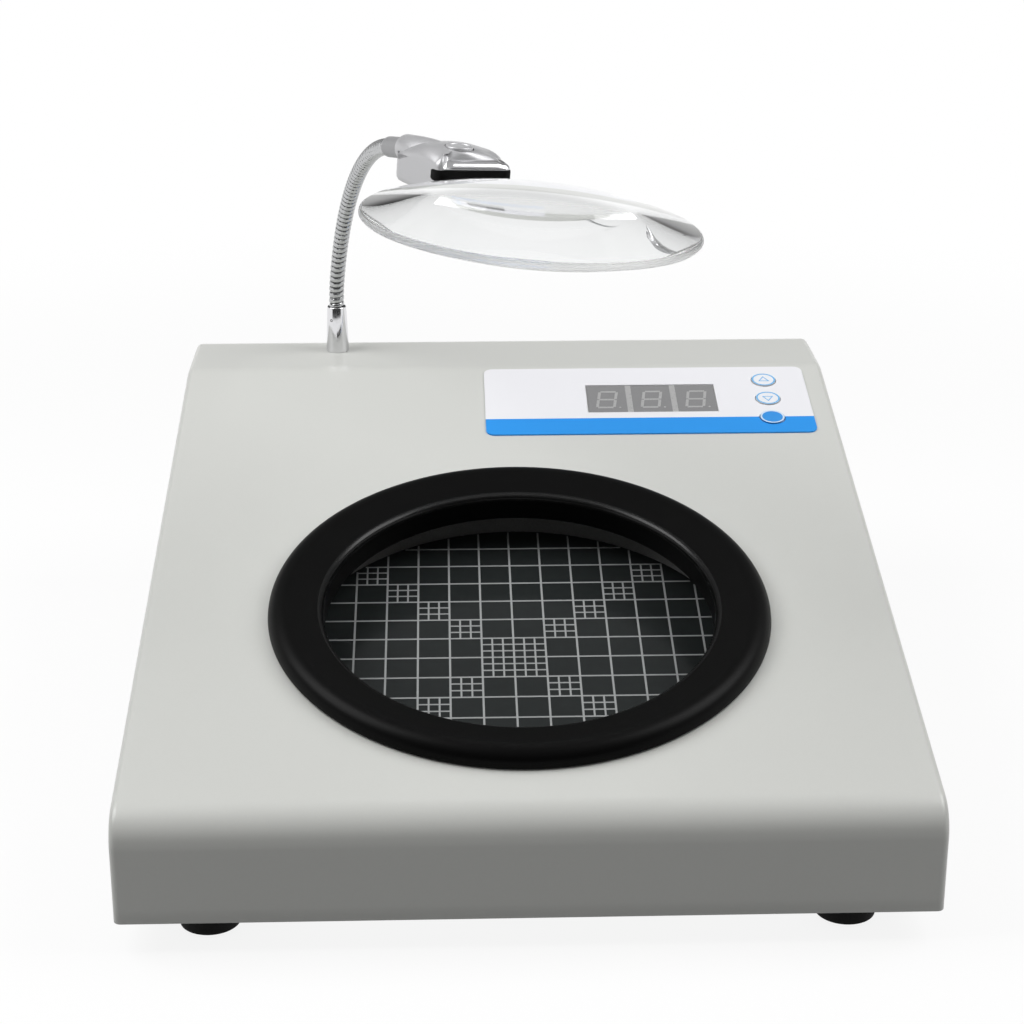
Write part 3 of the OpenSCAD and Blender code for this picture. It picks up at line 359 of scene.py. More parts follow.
def shifted(place, x, y, z=0.0):
    # the same place, moved along its own axes
    return lambda a, b, c: place(a + x, b + y, c + z)


def boxOf(node):
    # the low and the high corner of a node, in millimetres
    low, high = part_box(node)
    return np.array(low) / mm, np.array(high) / mm


onGround = placeAt(np.zeros(3), worldAxes)
onSlope = placeAt(ringCentre, (worldAxes[0], slopeAlong, slopeUp))


# Housing: a bent sheet with a round hole for the well and two openings behind

housing = {
    "frontHeight": 30.9, "frontRows": 6, "land": 42.2, "landRows": 7, "backRows": 7, "bend": 11.0,
    "bendSteps": 22, "kink": 32.0, "kinkSteps": 7, "edge": 2.2, "edgeSteps": 6, "sheet": 1.5,
    "wellHole": 63.3, "columns": 26, "deckRows": 24, "deckSteps": 9, "backSkin": 0.01, "sharp": 32.0,
    "holes": {"power_inlet": (28.0, 20.6), "rocker_frame": (14.0, 22.1)},
}


def holeEdges(node, size):
    # left, right, low and high edge of an opening that is centred on a rear fitting
    low, high = boxOf(node)
    x, z = (low[0] + high[0]) / 2, (low[2] + high[2]) / 2
    return x - size[0] / 2, x + size[0] / 2, z - size[1] / 2, z + size[1] / 2


def housingOutline(look, low, high, holes):
    # the side outline in Y and Z, from the front foot over the bends to the back foot, in three stretches
    radius, slope = look["bend"], np.radians(slopeAngle)
    front, back, foot = low[1], high[1], low[2]
    kinkY = back - look["land"]
    topZ = foot + look["frontHeight"] + (kinkY - front) * np.tan(slope)
    bendZ = foot + look["frontHeight"] + radius * (np.tan(slope) - 1 / np.cos(slope))
    frontC = np.array([front + radius, bendZ])
    kinkC = np.array([kinkY + look["kink"] * np.tan(slope / 2), topZ - look["kink"]])
    backC = np.array([back - radius, topZ - radius])
    face = straightLine((front, foot), (front, bendZ), np.linspace(0, 1, look["frontRows"]))
    frontBend = arcLine(frontC, radius, 180, 90 + slopeAngle, look["bendSteps"])
    kink = arcLine(kinkC, look["kink"], 90 + slopeAngle, 90, look["kinkSteps"])
    deck = straightLine(frontBend[0][-1], kink[0][0], np.linspace(0, 1, look["deckRows"] + 1))
    land = straightLine(kink[0][-1], backC + [0, radius], np.linspace(0, 1, look["landRows"]))
    backBend = arcLine(backC, radius, 90, 0, look["bendSteps"])
    levels = {z for h in holes for z in h[2:]} | set(np.linspace(foot, backC[1], look["backRows"]))
    shares = (backC[1] - np.array(sorted(levels, reverse=True))) / (backC[1] - foot)
    rear = straightLine((back, backC[1]), (back, foot), shares)

    def run(*parts):
        # parts in a row, each without the point that it shares with the one before
        return [np.concatenate([parts[0][k]] + [p[k][1:] for p in parts[1:]]) for k in (0, 1)]

    return run(face, frontBend), deck, run(kink, land, backBend, rear)


def buildHousing(look):
    # the outline carried straight across, and rounded over into a flat wall at either side
    low, high = boxOf("housing")
    holes = [holeEdges(node, size) for node, size in look["holes"].items()]
    before, deck, behind = housingOutline(look, low, high, holes)
    half = high[0] - look["edge"]
    edges = {x for h in holes for x in h[:2]}
    columns = np.array(sorted(edges | set(np.linspace(-half, half, look["columns"]))))

    def across(line):
        grid = np.empty((len(line), len(columns), 3))
        grid[..., 0] = columns
        grid[..., 1:] = line[:, None]
        return grid * mm, gridFaces(*grid.shape[:2])

    # the deck runs from the round hole to its four straight sides
    v = (deck[0] - ringCentre[1:]) @ slopeAlong[1:]
    sides = ((columns, v[:1]), (half, v[1:]), (columns[-2::-1], v[-1:]), (-half, v[-2:0:-1]))
    rim = np.concatenate([np.stack(np.broadcast_arrays(*side), -1) for side in sides])
    hole = look["wellHole"] * unit(rim)
    share = np.linspace(0, 1, look["deckSteps"])[:, None, None]
    flat = hole * (1 - share) + rim * share
    patches = [(onSlope(flat[..., 0], flat[..., 1], 0.0), gridFaces(*flat.shape[:2], closeCols=True))]

    # the faces of the back that lie within an opening are left out
    patches.append(across(before[0]))
    points, faces = across(behind[0])
    middle = points.reshape(-1, 3)[faces].mean(1) / mm
    isHole = np.zeros(len(faces), bool)
    for left, right, bottom, top in holes:
        inside = (middle > (left, high[1] - look["backSkin"], bottom)) & (middle < (right, np.inf, top))
        isHole |= inside.all(1)
    patches.append((points, faces[~isHole]))

    # a quarter round along both sides, then the flat side
    line = np.concatenate([before[0], deck[0][1:-1], behind[0]])
    normal = np.concatenate([before[1], deck[1][1:-1], behind[1]])
    angle = np.radians(np.linspace(0, 90, look["edgeSteps"] + 1))
    for side in (-1, 1):
        grid = np.empty((len(angle), len(line), 3))
        grid[..., 0] = side * (half + look["edge"] * np.sin(angle))[:, None]
        grid[..., 1:] = line - normal * (look["edge"] * (1 - np.cos(angle)))[:, None, None]
        patches.append((grid * mm, gridFaces(*grid.shape[:2])))
        patches.append((grid[-1] * mm, [list(range(len(line)))]))

    shell = makePiece("housingShell", patches, "paint", "base", nodes=["housing"], sharp=look["sharp"])
    wall = shell.modifiers.new("sheet", "SOLIDIFY")
    wall.thickness = look["sheet"] * mm
    wall.offset = -1
    wall.use_even_offset = True
    smooth = shell.modifiers.new("flats", "WEIGHTED_NORMAL")
    smooth.keep_sharp = True


buildHousing(housing)

feet = {"tip": 4.75, "shoulder": 8.6, "radius": 9.0, "shoulderHeight": 1.2, "rim": 1.9, "tipRound": 0.3,
        "sideRound": 0.4, "topRound": 0.2, "turns": 48}


def buildFeet(look):
    # four turned rubber feet, at the corners of the box that the feet fill
    low, high = boxOf("feet")
    radius, height = look["radius"], high[2]
    profile = filleted([
        (0, 0, 0), (look["tip"], 0, look["tipRound"]),
        (look["shoulder"], look["shoulderHeight"], look["sideRound"]),
        (radius, height - look["rim"], look["sideRound"]), (radius, height, look["topRound"]), (0, height, 0),
    ])
    spots = [(x, y) for x in (low[0] + radius, high[0] - radius) for y in (low[1] + radius, high[1] - radius)]
    patches = [turned(profile, shifted(onGround, *spot), look["turns"]) for spot in spots]
    makePiece("rubberFeet", patches, "rubber_black", "base", nodes=["feet"])


buildFeet(feet)
print("housing: sheet shell and feet")


# Dish well: ring, counting plate and its grid

ring = {"outer": 77.0, "crest": 72.0, "crestHeight": 5.6, "crestSteps": 40, "edge": 0.8, "edgeRound": 0.25,
        "lip": 60.0, "lipRound": 2.4, "lipSteps": 10, "spigot": 63.0, "spigotRound": 0.4, "turns": 256}


def buildRing(look):
    # a round crest between the outer edge and a straight inner slope, with a spigot through the sheet
    rise = look["crestHeight"] - look["edge"]
    radius = ((look["outer"] - look["crest"]) ** 2 + rise ** 2) / (2 * rise)
    centre = np.array([look["crest"], look["crestHeight"] - radius])
    lip = np.array([look["lip"], well["lip"]])
    gap = lip - centre
    tangent = np.degrees(np.arctan2(gap[1], gap[0]) - np.arccos(radius / np.linalg.norm(gap)))
    edge = np.degrees(np.arctan2(look["edge"] - centre[1], look["outer"] - centre[0]))
    crest = arcLine(centre, radius, edge, tangent, look["crestSteps"])[0]
    skirt, steps = -well["skirt"], look["lipSteps"]
    bore = [(*crest[-1], 0), (*lip, look["lipRound"]), (look["lip"], skirt, 0)]
    inner = filleted(bore, steps, False)[1:]
    outer = filleted([(look["spigot"], skirt, look["spigotRound"]), (look["spigot"], 0, 0),
                      (look["outer"], 0, look["edgeRound"])])
    profile = np.concatenate([outer[:-1], crest, inner])
    points, faces = turned(profile, onSlope, look["turns"])
    row = np.arange(len(faces)) // look["turns"]
    lipRow = len(profile) - len(inner)
    marks = ((row >= lipRow) & (row < lipRow + steps)).astype(int)
    makePiece("bezelRing", [(points, faces, marks)], ("ring_black", "ring_lip"), "base", nodes=["bezel_ring"])


buildRing(ring)

plate = {"depth": 18.3, "pitch": 10.0, "lines": 6, "reach": 69.9, "shift": -1.5, "line": 0.62,
         "fineLine": 0.56, "fineCells": 5, "parts": 3, "clear": 0.2, "uprightHeight": 0.03,
         "levelHeight": 0.048}


def buildGrid(look):
    # square lines, and finer lines in the cells along both diagonals, all cut at the edge of the round plate
    reach, shift, pitch = look["reach"], look["shift"], look["pitch"]
    steps = np.arange(-look["lines"], look["lines"] + 1) * pitch
    tall, wide = np.sqrt(reach ** 2 - (steps + shift) ** 2), np.sqrt(reach ** 2 - steps ** 2)
    upright = [barBetween((x + shift, -r), (x + shift, r), look["line"]) for x, r in zip(steps, tall)]
    level = [barBetween((-r, y), (r, y), look["line"]) for y, r in zip(steps, wide)]
    corners = [(i, k, sx, sy) for i in range(look["fineCells"]) for k in range(1, look["parts"])
               for sx in (-1, 1) for sy in (-1, 1)]
    for i, k, sx, sy in corners:
        near, far = i * pitch + look["clear"], (i + 1) * pitch - look["clear"]
        at = (i + k / look["parts"]) * pitch
        u, v = sx * at + shift, sy * at
        top = min(far, np.sqrt(reach ** 2 - u ** 2))
        side = min(far, np.sqrt(reach ** 2 - v ** 2) - sx * shift)
        upright.append(barBetween((u, sy * near), (u, sy * top), look["fineLine"]))
        level.append(barBetween((sx * near + shift, v), (sx * side + shift, v), look["fineLine"]))
    low = -look["depth"]
    patches = [bars(upright, low, low + look["uprightHeight"], onSlope),
               bars(level, low, low + look["levelHeight"], onSlope)]
    makePiece("gridLines", patches, "grid_white", "stage", "plate_glass")


buildGrid(plate)

spring = {"radius": 3.4, "wire": 0.35, "turns": 3.5, "flatTurn": 0.5, "posts": (90, 210, 330),
          "postRadius": 50.0, "floor": 30.0, "height": 5.9, "travel": 0.8, "rings": 140, "sides": 12}


def buildSprings(look):
    # three coils: a round wire carried along a helix whose first and last half turns lie flat
    t = np.linspace(0, 1, look["rings"])
    climb = np.clip((t * look["turns"] - look["flatTurn"]) / (look["turns"] - 2 * look["flatTurn"]), 0, 1)
    x, y = circle(2 * np.pi * look["turns"] * t).T[..., None]
    out, over = look["wire"] * circle(fullTurn(look["sides"])).T
    radius = look["radius"] + out
    n = -look["floor"] + look["wire"] + climb[:, None] * (look["height"] - 2 * look["wire"]) + over
    faces = cappedFaces(look["rings"], look["sides"])
    posts = look["postRadius"] * circle(np.radians(look["posts"]))
    patches = [(onSlope(u + radius * x, v + radius * y, n), faces) for u, v in posts]
    piece = makePiece("stageSprings", patches, "screw_steel", "base", nodes=["stage_springs"])
    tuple(onSlope(0.0, 0.0, -look["floor"]))
    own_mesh(piece)


buildSprings(spring)
print("dish well: ring, grid and springs")


# Panel: printed film, display and key marks

panel = {
    "centre": (49.5, 125.2), "height": 45.5, "stripe": 10.5, "stripeColor": tone(40, 148, 232),
    "film": dict(color=tone(234, 234, 238), rough=(0.34, 0.42), spec=0.3, grain=1600, bump=0.05),
    "window": (1.5, 1.1), "windowTall": 18.4, "windowTop": 0.35, "digitPitch": 15.8, "digit": (6.0, 10.8),
    "digitDrop": 0.5, "segment": 1.0, "segmentGap": 0.3, "slant": 8.0, "gap": 2.0, "ink": 0.03,
    "dot": 0.4, "dotOut": 0.72, "dotTurns": 20, "keyColumn": 42.8, "keyPitch": 12.95, "keyTop": 0.85,
    "ringOuter": 4.2, "ringInner": 3.6, "ringTurns": 64, "mark": 2.3, "markIn": 0.72,
}


def makeFilm(look):
    # white film with a blue stripe along its lower edge, split by the distance up the slope
    film = makeFinish("overlay_white", look["film"])
    tree = film.node_tree
    place = addNode(tree, "TexCoord").outputs["Object"]
    along = addNode(tree, "VectorMath", {0: place, 1: slopeAlong}, "DOT_PRODUCT").outputs["Value"]
    edge = look["centre"][1] - look["height"] / 2 + look["stripe"]
    level = (ringCentre @ slopeAlong + edge) * mm
    above = addNode(tree, "Math", {0: along, 1: level}, "GREATER_THAN").outputs["Value"]
    split = addNode(tree, "Mix")
    split.data_type = "RGBA"
    feed(tree, split, {"Factor": above, "A": (*look["stripeColor"], 1), "B": (*look["film"]["color"], 1)})
    feed(tree, tree.nodes["Principled BSDF"], {"Base Color": split.outputs["Result"]})
    return film


finishes["overlay_white"] = makeFilm(panel)


def buildDisplay(look):
    # three slanted figures of seven bars each, their dots, and the gaps between the blocks
    width, height = look["digit"]
    gap, top, ink = look["segmentGap"], look["windowTop"], look["ink"]
    rows, sides = (-height / 2, 0, height / 2), (-width / 2, width / 2)
    strokes = [((sides[0] + gap, y), (sides[1] - gap, y)) for y in rows]
    strokes += [((x, a + gap), (x, b - gap)) for x in sides for a, b in zip(rows[:-1], rows[1:])]
    figure = np.array([barBetween(a, b, look["segment"]) for a, b in strokes])
    figure[..., 0] += figure[..., 1] * np.tan(np.radians(look["slant"]))
    dot = [(0, top), (look["dot"], top), (look["dot"], top + ink), (0, top + ink)]
    at = shifted(onSlope, look["centre"][0] + look["window"][0], look["centre"][1] + look["window"][1])
    patches = []
    for i in (-1, 0, 1):
        spot = shifted(at, i * look["digitPitch"], -look["digitDrop"])
        patches.append(bars(figure, top, top + ink, spot))
        patches.append(turned(dot, shifted(spot, width * look["dotOut"], -height / 2), look["dotTurns"]))
    for i in (-0.5, 0.5):
        x, tall = i * look["digitPitch"], look["windowTall"] / 2
        patches.append(bars([barBetween((x, -tall), (x, tall), look["gap"])], top, top + ink / 2, at))
    makePiece("displayFigures", patches, "segment_grey", "base", "digit_grey")


buildDisplay(panel)


def buildKeyMarks(look):
    # a thin ring on each key, and a ring of three sides, an outlined triangle, on two of them
    top, ink = look["keyTop"], look["ink"]

    def band(outer, inner):
        return [(inner, top), (outer, top), (outer, top + ink), (inner, top + ink)]

    for name, body, row, point, finish in (("upKeyMark", "up_key", 1, 90, "print_blue"),
                                           ("downKeyMark", "down_key", 0, -90, "print_blue"),
                                           ("resetKeyMark", "reset_key", -1, None, "print_pale")):
        x, y = look["centre"][0] + look["keyColumn"], look["centre"][1] + row * look["keyPitch"]
        at = shifted(onSlope, x, y)
        patches = [turned(band(look["ringOuter"], look["ringInner"]), at, look["ringTurns"])]
        if point is not None:
            c, s = circle(np.radians(point))
            tilted = lambda a, b, n, at=at, c=c, s=s: at(a * c - b * s, a * s + b * c, n)
            patches.append(turned(band(look["mark"], look["mark"] - look["markIn"]), tilted, 3))
        makePiece(name, patches, finish, body, "key_white" if point is not None else "key_blue")


buildKeyMarks(panel)
print("panel: display figures and key marks")


# Gooseneck: a wound hose along two tangent arcs, from the ferrule to the head

# hose faces whose ridge share falls under a limit take the painted groove shade
neck = {
    "lowRadius": 30.0, "split": 20.0, "highRadius": 98.8, "turn": 80.6, "lean": -73.5, "hose": 2.8,
    "groove": 0.5, "ridgePower": 0.6, "pitch": 2.3, "sides": 36, "ringsPerPitch": 12, "boreRings": 24,
    "grooveShadeBelow": 0.42, "socket": 5.6, "bore": 1.6, "sleeve": 28.3, "links": (0.3, 0.6), "bendReach": 9.0,
    "sharp": 60.0,
}
ferruleLow, ferruleHigh = boxOf("neck_ferrule")
neckFoot = np.append((ferruleLow + ferruleHigh)[:2] / 2, ferruleHigh[2])
leanX, leanY = circle(np.radians(neck["lean"]))
neckSide, neckAhead = np.array([-leanY, leanX, 0]), np.array([leanX, leanY, 0])
lowLength = neck["lowRadius"] * np.radians(neck["split"])
sleeveStart = lowLength + neck["highRadius"] * np.radians(neck["turn"] - neck["split"])
neckLength = sleeveStart + neck["sleeve"]


def neckTurn(s):
    # how far the hose has turned from upright at a length s along it
    low = s / neck["lowRadius"]
    high = np.radians(neck["split"]) + (s - lowLength) / neck["highRadius"]
    return np.clip(np.where(s < lowLength, low, high), 0, np.radians(neck["turn"]))


def neckPoint(s):
    # the middle of the hose at a length s: two arcs, with a straight run before the first and after the last
    s = np.asarray(s, float)
    turn, split = neckTurn(s), np.radians(neck["split"])
    low, high = neck["lowRadius"], neck["highRadius"]
    highRun = low * (1 - np.cos(split)) + high * (np.cos(split) - np.cos(turn))
    highRise = low * np.sin(split) + high * (np.sin(turn) - np.sin(split))
    past = np.clip(s - sleeveStart, 0, None)
    run = np.where(s < lowLength, low * (1 - np.cos(turn)), highRun) + past * np.sin(turn)
    rise = np.where(s < lowLength, low * np.sin(turn), highRise) + past * np.cos(turn) + np.clip(s, None, 0)
    return neckFoot + run[..., None] * neckAhead + rise[..., None] * worldAxes[2]


def alongNeck(s, radius, sides):
    # rings of points about the hose, one radius or one row of radii at each length
    x, y = circle(fullTurn(sides)).T[..., None]
    turn = neckTurn(s)[:, None]
    up = np.cross(neckSide, np.sin(turn) * neckAhead + np.cos(turn) * worldAxes[2])
    spokes = x * neckSide + y * up[:, None]
    return (neckPoint(s)[:, None] + np.broadcast_to(radius, (len(s), sides))[..., None] * spokes) * mm


def buildHose(name, start, stop, bodies, joint, nodes):
    # a strip wound at a steady pitch: the radius swells to a ridge and dips to a groove once in each turn;
    # faces at the bottom of each groove take a darker finish, which is painted shade
    sides, reach = neck["sides"], neck["bendReach"]
    s = np.linspace(start, stop, int((stop - start) / neck["pitch"] * neck["ringsPerPitch"]))
    phase = s[:, None] / neck["pitch"] + np.linspace(0, 1, sides, endpoint=False)
    ridge = np.abs(np.sin(np.pi * phase)) ** neck["ridgePower"]
    outer = alongNeck(s, neck["hose"] - neck["groove"] * (1 - ridge), sides)
    inner = alongNeck(np.linspace(stop, start, neck["boreRings"]), neck["bore"], sides)
    grid = np.concatenate([outer, inner])
    faces = gridFaces(len(grid), sides, True, True)
    shine = np.r_[ridge.ravel(), np.ones(len(inner) * sides)]
    # painted shade: faces low in the grooves get the dark groove finish
    marks = (shine[faces].mean(1) < neck["grooveShadeBelow"]).astype(int)
    finish = ("neck_steel", "neck_groove_shade")
    piece = makePiece(name, [(grid, faces, marks)], finish, nodes=nodes, sharp=neck["sharp"])
    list(bodies)
    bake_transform(piece)


# three lengths of hose, cut halfway along the middle and the upper link; each spans the place where two links
# meet
lowerEnd, middleEnd = (share * neckLength for share in neck["links"])
bends = (lowerEnd, middleEnd, sleeveStart)
hoseCuts = (-neck["socket"], (lowerEnd + middleEnd) / 2, (middleEnd + sleeveStart) / 2,
            sleeveStart + neck["bendReach"])
links = ("lower_link", "middle_link", "upper_link", "head")
for i, name in enumerate(("Lower", "Middle", "Upper")):
    buildHose("hose" + name, *hoseCuts[i:i + 2], links[i:i + 2], bends[i], ["neck_" + name.lower()])

ferrule = {"foot": 4.2, "footRound": 0.25, "top": 3.5, "topRound": 0.35, "bore": 3.1, "boreRound": 0.15,
           "socket": 6.0, "socketRound": 0.2, "stud": 3.2, "studLength": 9.0, "studRound": 0.4, "seat": 0.01,
           "turns": 72}
grub = {"height": 12.2, "angle": -122.0, "radius": 0.55, "keyRadius": (0.2475, 0.3025), "keyDepth": 0.25,
        "keyRound": 0.05, "edgeRound": 0.1, "proud": 0.05, "depth": 0.6, "turns": 24}


def buildFerrule(look, screw):
    # a turned cone with a rounded mouth and a stud below, and a small grub screw near its mouth
    stud = look["studLength"]
    height = ferruleHigh[2] - ferruleLow[2] - stud
    floor = height - look["socket"]
    profile = filleted([
        (0, -stud, 0), (look["stud"], -stud, look["studRound"]), (look["stud"], -look["seat"], 0),
        (look["foot"], 0, look["footRound"]), (look["top"], height, look["topRound"]),
        (look["bore"], height, look["boreRound"]), (look["bore"], floor, look["socketRound"]), (0, floor, 0),
    ])
    at = placeAt(neckFoot - [0, 0, height], worldAxes)
    makePiece("ferrule", [turned(profile, at, look["turns"])], "chrome", "base", nodes=["neck_ferrule"])

    # the screw sits where the cone's side is at its height, turned to face outwards
    share = screw["height"] / height
    out = look["foot"] * (1 - share) + look["top"] * share
    c, s = circle(np.radians(screw["angle"]))
    axes = (np.array([-s, c, 0]), worldAxes[2], np.array([c, s, 0]))
    origin = neckFoot - [0, 0, height - screw["height"]] + axes[2] * out
    radius, (bottom, mouth), proud = screw["radius"], screw["keyRadius"], screw["proud"]
    pin = filleted([
        (0, -screw["keyDepth"], 0), (bottom, -screw["keyDepth"], 0), (mouth, proud, screw["keyRound"]),
        (radius, proud, screw["edgeRound"]), (radius, -screw["depth"], 0), (0, -screw["depth"], 0),
    ])
    patches = [turned(pin, placeAt(origin, axes), screw["turns"])]
    makePiece("grubScrew", patches, "switch_black", "base", "screw_steel")


buildFerrule(ferrule, grub)
print("gooseneck: hose in three lengths and ferrule")


# Lens head: places count along the lens edge, outwards from it and up

# in lowEdge and highEdge, how far each ring is set in and how far it lies from the low or the high face
head = {
    "roll": 5.0, "turn": 19.0, "boss": (-11.5, 24.8, 5.4), "lensRadius": 50.0, "gap": 0.3,
    "outlinePoints": 240, "fineSteps": 3000, "smoothings": 3, "left": -12.0, "right": 13.0, "corner": 2.5,
    "backRadius": 6.0, "split": 11.0, "slotLeft": -10.4, "slotFade": 14, "bossIn": 0.8, "bossRadius": 5.4,
    "low": -5.0, "lowEdge": ((1.6, 0.0), (0.7, 0.45), (0.15, 1.3), (0.0, 2.4)), "top": 10.0,
    "domeRadius": 32.0, "domeAt": (-3.0, 12.0), "domeSteps": 14, "roundOver": 4.2, "roundIn": 5.0,
    "edgeSteps": 10, "bevelIn": 3.0, "bevelTop": 6.7, "bevelFoot": 0.25, "bevelSwell": 0.45,
    "bevelLeft": -0.3, "bevelSlant": 2.2, "bevelFade": (0.8, 1.2), "noseFade": (1.5, 8.0), "pocket": 4.6,
    "pocketDepths": (0.4, 4.2), "sharp": 34.0,
}
gasket = {"low": 0.2, "high": 4.2, "proud": 0.2, "left": -12.35, "leftSlope": 2.0,
          "lowEdge": ((0.5, 0.0), (0.1, 0.3), (0.0, 0.8)), "highEdge": ((0.0, 0.8), (0.1, 0.3), (0.5, 0.02))}
jaw = {"low": head["low"], "high": -1.0, "proud": 0.0, "left": -10.35, "leftSlope": 2.0,
       "lowEdge": ((2.2, 0.0), (1.2, 0.3), (0.5, 0.9), (0.1, 1.9)), "highEdge": ((0.0, 0.3), (0.3, 0.0))}
button = {  # the face has the share of the radius, the depth under the top and the rounding of each corner
    "at": (-2.0, 8.5), "radius": 4.3, "top": 10.2, "turns": 72,
    "face": ((0.0, 0.25, 0.0), (0.62, 0.2, 0.5), (0.74, 0.75, 0.3), (0.84, 0.1, 0.25), (1.0, 0.15, 0.4),
             (1.0, 3.0, 0.1), (0.0, 3.0, 0.0)),
}
(rollX, rollZ), (turnX, turnY) = circle(np.radians((head["roll"], head["turn"])))
rollAxes = np.array([[rollX, 0, -rollZ], [0, 1, 0], [rollZ, 0, rollX]])
turnAxes = np.array([[turnX, turnY, 0], [-turnY, turnX, 0], [0, 0, 1]])
headAxes = turnAxes @ rollAxes
lensReach = head["lensRadius"] + head["gap"]
lensCentre = neckPoint(neckLength) - (np.array(head["boss"]) + [0, lensReach, 0]) @ headAxes
onLens = placeAt(lensCentre, rollAxes)
onHead = placeAt(lensCentre + lensReach * headAxes[1], headAxes)


def evenly(path, count, endpoint=True):
    # points at equal steps of length along a path of straight pieces
    length = np.r_[0, np.cumsum(np.linalg.norm(np.diff(path, axis=0), axis=1))]
    at = np.linspace(0, length[-1], count, endpoint=endpoint)
    return np.stack([np.interp(at, length, path[:, k]) for k in (0, 1)], -1)


def headOutline(look):
    # the tight outline round four discs, with evenly spaced points, and its outward normals
    r = look["corner"]
    discs = np.array([
        (look["left"] + r, r, r), (look["right"] - r, r, r),
        (look["right"] - look["backRadius"], look["split"] + r, look["backRadius"]),
        (look["boss"][0] + look["bossIn"], look["boss"][1], look["bossRadius"]),
    ])
    way = circle(np.linspace(0, 2 * np.pi, look["fineSteps"]))
    best = np.argmax(way @ discs[:, :2].T + discs[:, 2], 1)
    even = evenly(discs[best, :2] + discs[best, 2:] * way, look["outlinePoints"], False)
    for _ in range(look["smoothings"]):
        even = (np.roll(even, 1, 0) + 2 * even + np.roll(even, -1, 0)) / 4
    tangent = np.roll(even, -1, 0) - np.roll(even, 1, 0)
    return even, unit(np.stack([tangent[:, 1], -tangent[:, 0]], -1))


def headRuns(look):
    # the outline from the slot's left end, its normals, its lower run, which goes round inside the slot,
    # and a share that is zero along the slot and one well away from it
    line, normal = headOutline(look)
    inside = (line[:, 0] > look["slotLeft"]) & (line[:, 1] < look["split"])
    first = np.flatnonzero(inside & ~np.roll(inside, 1))[0]
    line, normal = np.roll(line, -first, 0), np.roll(normal, -first, 0)
    count = int(inside.sum())
    lower = line.copy()
    lower[:count] = evenly(np.array([line[0], (look["slotLeft"], look["split"]), line[count - 1]]), count)
    order = np.arange(len(line))
    away = np.minimum(order - count + 1, len(line) - order)
    return line, normal, lower, eased(away, 0, look["slotFade"])


def buildHead(look):
    # closed rings from the foot up the side, over a round edge or a bevel, and along the dome to the pocket
    line, normal, lower, solid = headRuns(look)
    count, high = len(line), gasket["high"]

    def dome(xy):
        # a paraboloid that falls away from its summit
        return look["top"] - ((xy - look["domeAt"]) ** 2).sum(-1) / (2 * look["domeRadius"])

    def bevelled(t):
        # one where the polished bevel runs, along the front and round the nose; its left end slants
        left = look["slotLeft"] + look["bevelLeft"] + look["bevelSlant"] * t
        right = left + look["bevelFade"][0] + look["bevelFade"][1] * t
        start, stop = (inset - look["split"] for inset in look["noseFade"])
        return eased(line[:, 0], left, right) * eased(-line[:, 1], start, stop)

    rows = [np.c_[lower - normal * (inset * solid)[:, None], np.full(count, look["low"] + z)]
            for inset, z in look["lowEdge"]]
    rows += [np.c_[lower, np.full(count, high)], np.c_[line, np.full(count, high)]]
    polish = [np.zeros(count)] * len(rows)

    # from the gasket up: a round edge, or a slightly swollen bevel
    edgeIn = look["roundIn"] + (look["bevelIn"] - look["roundIn"]) * bevelled(1.0)
    lid = line - normal * edgeIn[:, None]
    lidZ, foot = dome(lid), high + look["bevelFoot"]
    bevelZ = np.minimum(lidZ, look["bevelTop"])
    for t in np.linspace(0, 1, look["edgeSteps"]):
        front, a, swell = bevelled(t), t * np.pi / 2, look["bevelSwell"] * np.sin(np.pi * t)
        inset = edgeIn * (1 - np.cos(a)) * (1 - front) + (edgeIn * t - swell) * front
        roundZ = lidZ - look["roundOver"] * (1 - np.sin(a))
        z = roundZ * (1 - front) + (foot + (bevelZ - foot) * t + swell) * front
        rows.append(np.c_[line - normal * inset[:, None], z])
        polish.append(front)
    drop = (lidZ - bevelZ) * bevelled(1.0)

    # the dome runs in to the button's pocket
    middle = np.array(button["at"])
    pocket = middle + look["pocket"] * unit(lid - middle)
    for t in np.linspace(0, 1, look["domeSteps"])[1:]:
        flat = lid * (1 - t) + pocket * t
        rows.append(np.c_[flat, dome(flat) - drop * (1 - t) ** 2])
    rows += [np.c_[pocket, dome(pocket) - depth] for depth in look["pocketDepths"]]
    polish = np.concatenate(polish + [np.zeros(count)] * (len(rows) - len(polish)))
    quads = gridFaces(len(rows), count, closeCols=True)
    marks = (polish[quads].min(1) > 0.5).astype(int).tolist() + [0, 0]
    shell = (onHead(*np.moveaxis(np.array(rows), -1, 0)), cappedFaces(len(rows), count), marks)
    finish = ("silver_plastic", "polished_silver")
    makePiece("headShell", [shell], finish, "head", nodes=["head_shell"], sharp=look["sharp"])
    return line, normal


def buildSlab(name, look, line, normal, finish, slot, node):
    # the part of the head's outline that lies over the lens's edge, stacked in rings with both edges rounded
    levels = [(inset, look["low"] + z) for inset, z in look["lowEdge"]]
    levels += [(inset, look["high"] - z) for inset, z in look["highEdge"]]
    rings = []
    for inset, z in levels:
        edge = line + normal * (look["proud"] - inset)
        x = np.maximum(edge[:, 0], look["left"] + look["leftSlope"] * inset)
        rings.append(np.c_[x, np.minimum(edge[:, 1], head["split"]), np.full(len(line), z)])
    patch = (onHead(*np.moveaxis(np.array(rings), -1, 0)), cappedFaces(len(rings), len(line)))
    makePiece(name, [patch], finish, "head", slot, [node], sharp=head["sharp"])


headLine = buildHead(head)
buildSlab("headGasket", gasket, *headLine, "rubber_black", "rubber_black", "head_gasket")
buildSlab("headJaw", jaw, *headLine, "polished_silver", "silver_plastic", "head_jaw")

sleeve = {"radius": 3.4, "clear": 0.1, "start": 0.35, "taper": 0.9, "taperOver": 1.6, "rings": 40,
          "sides": 48}


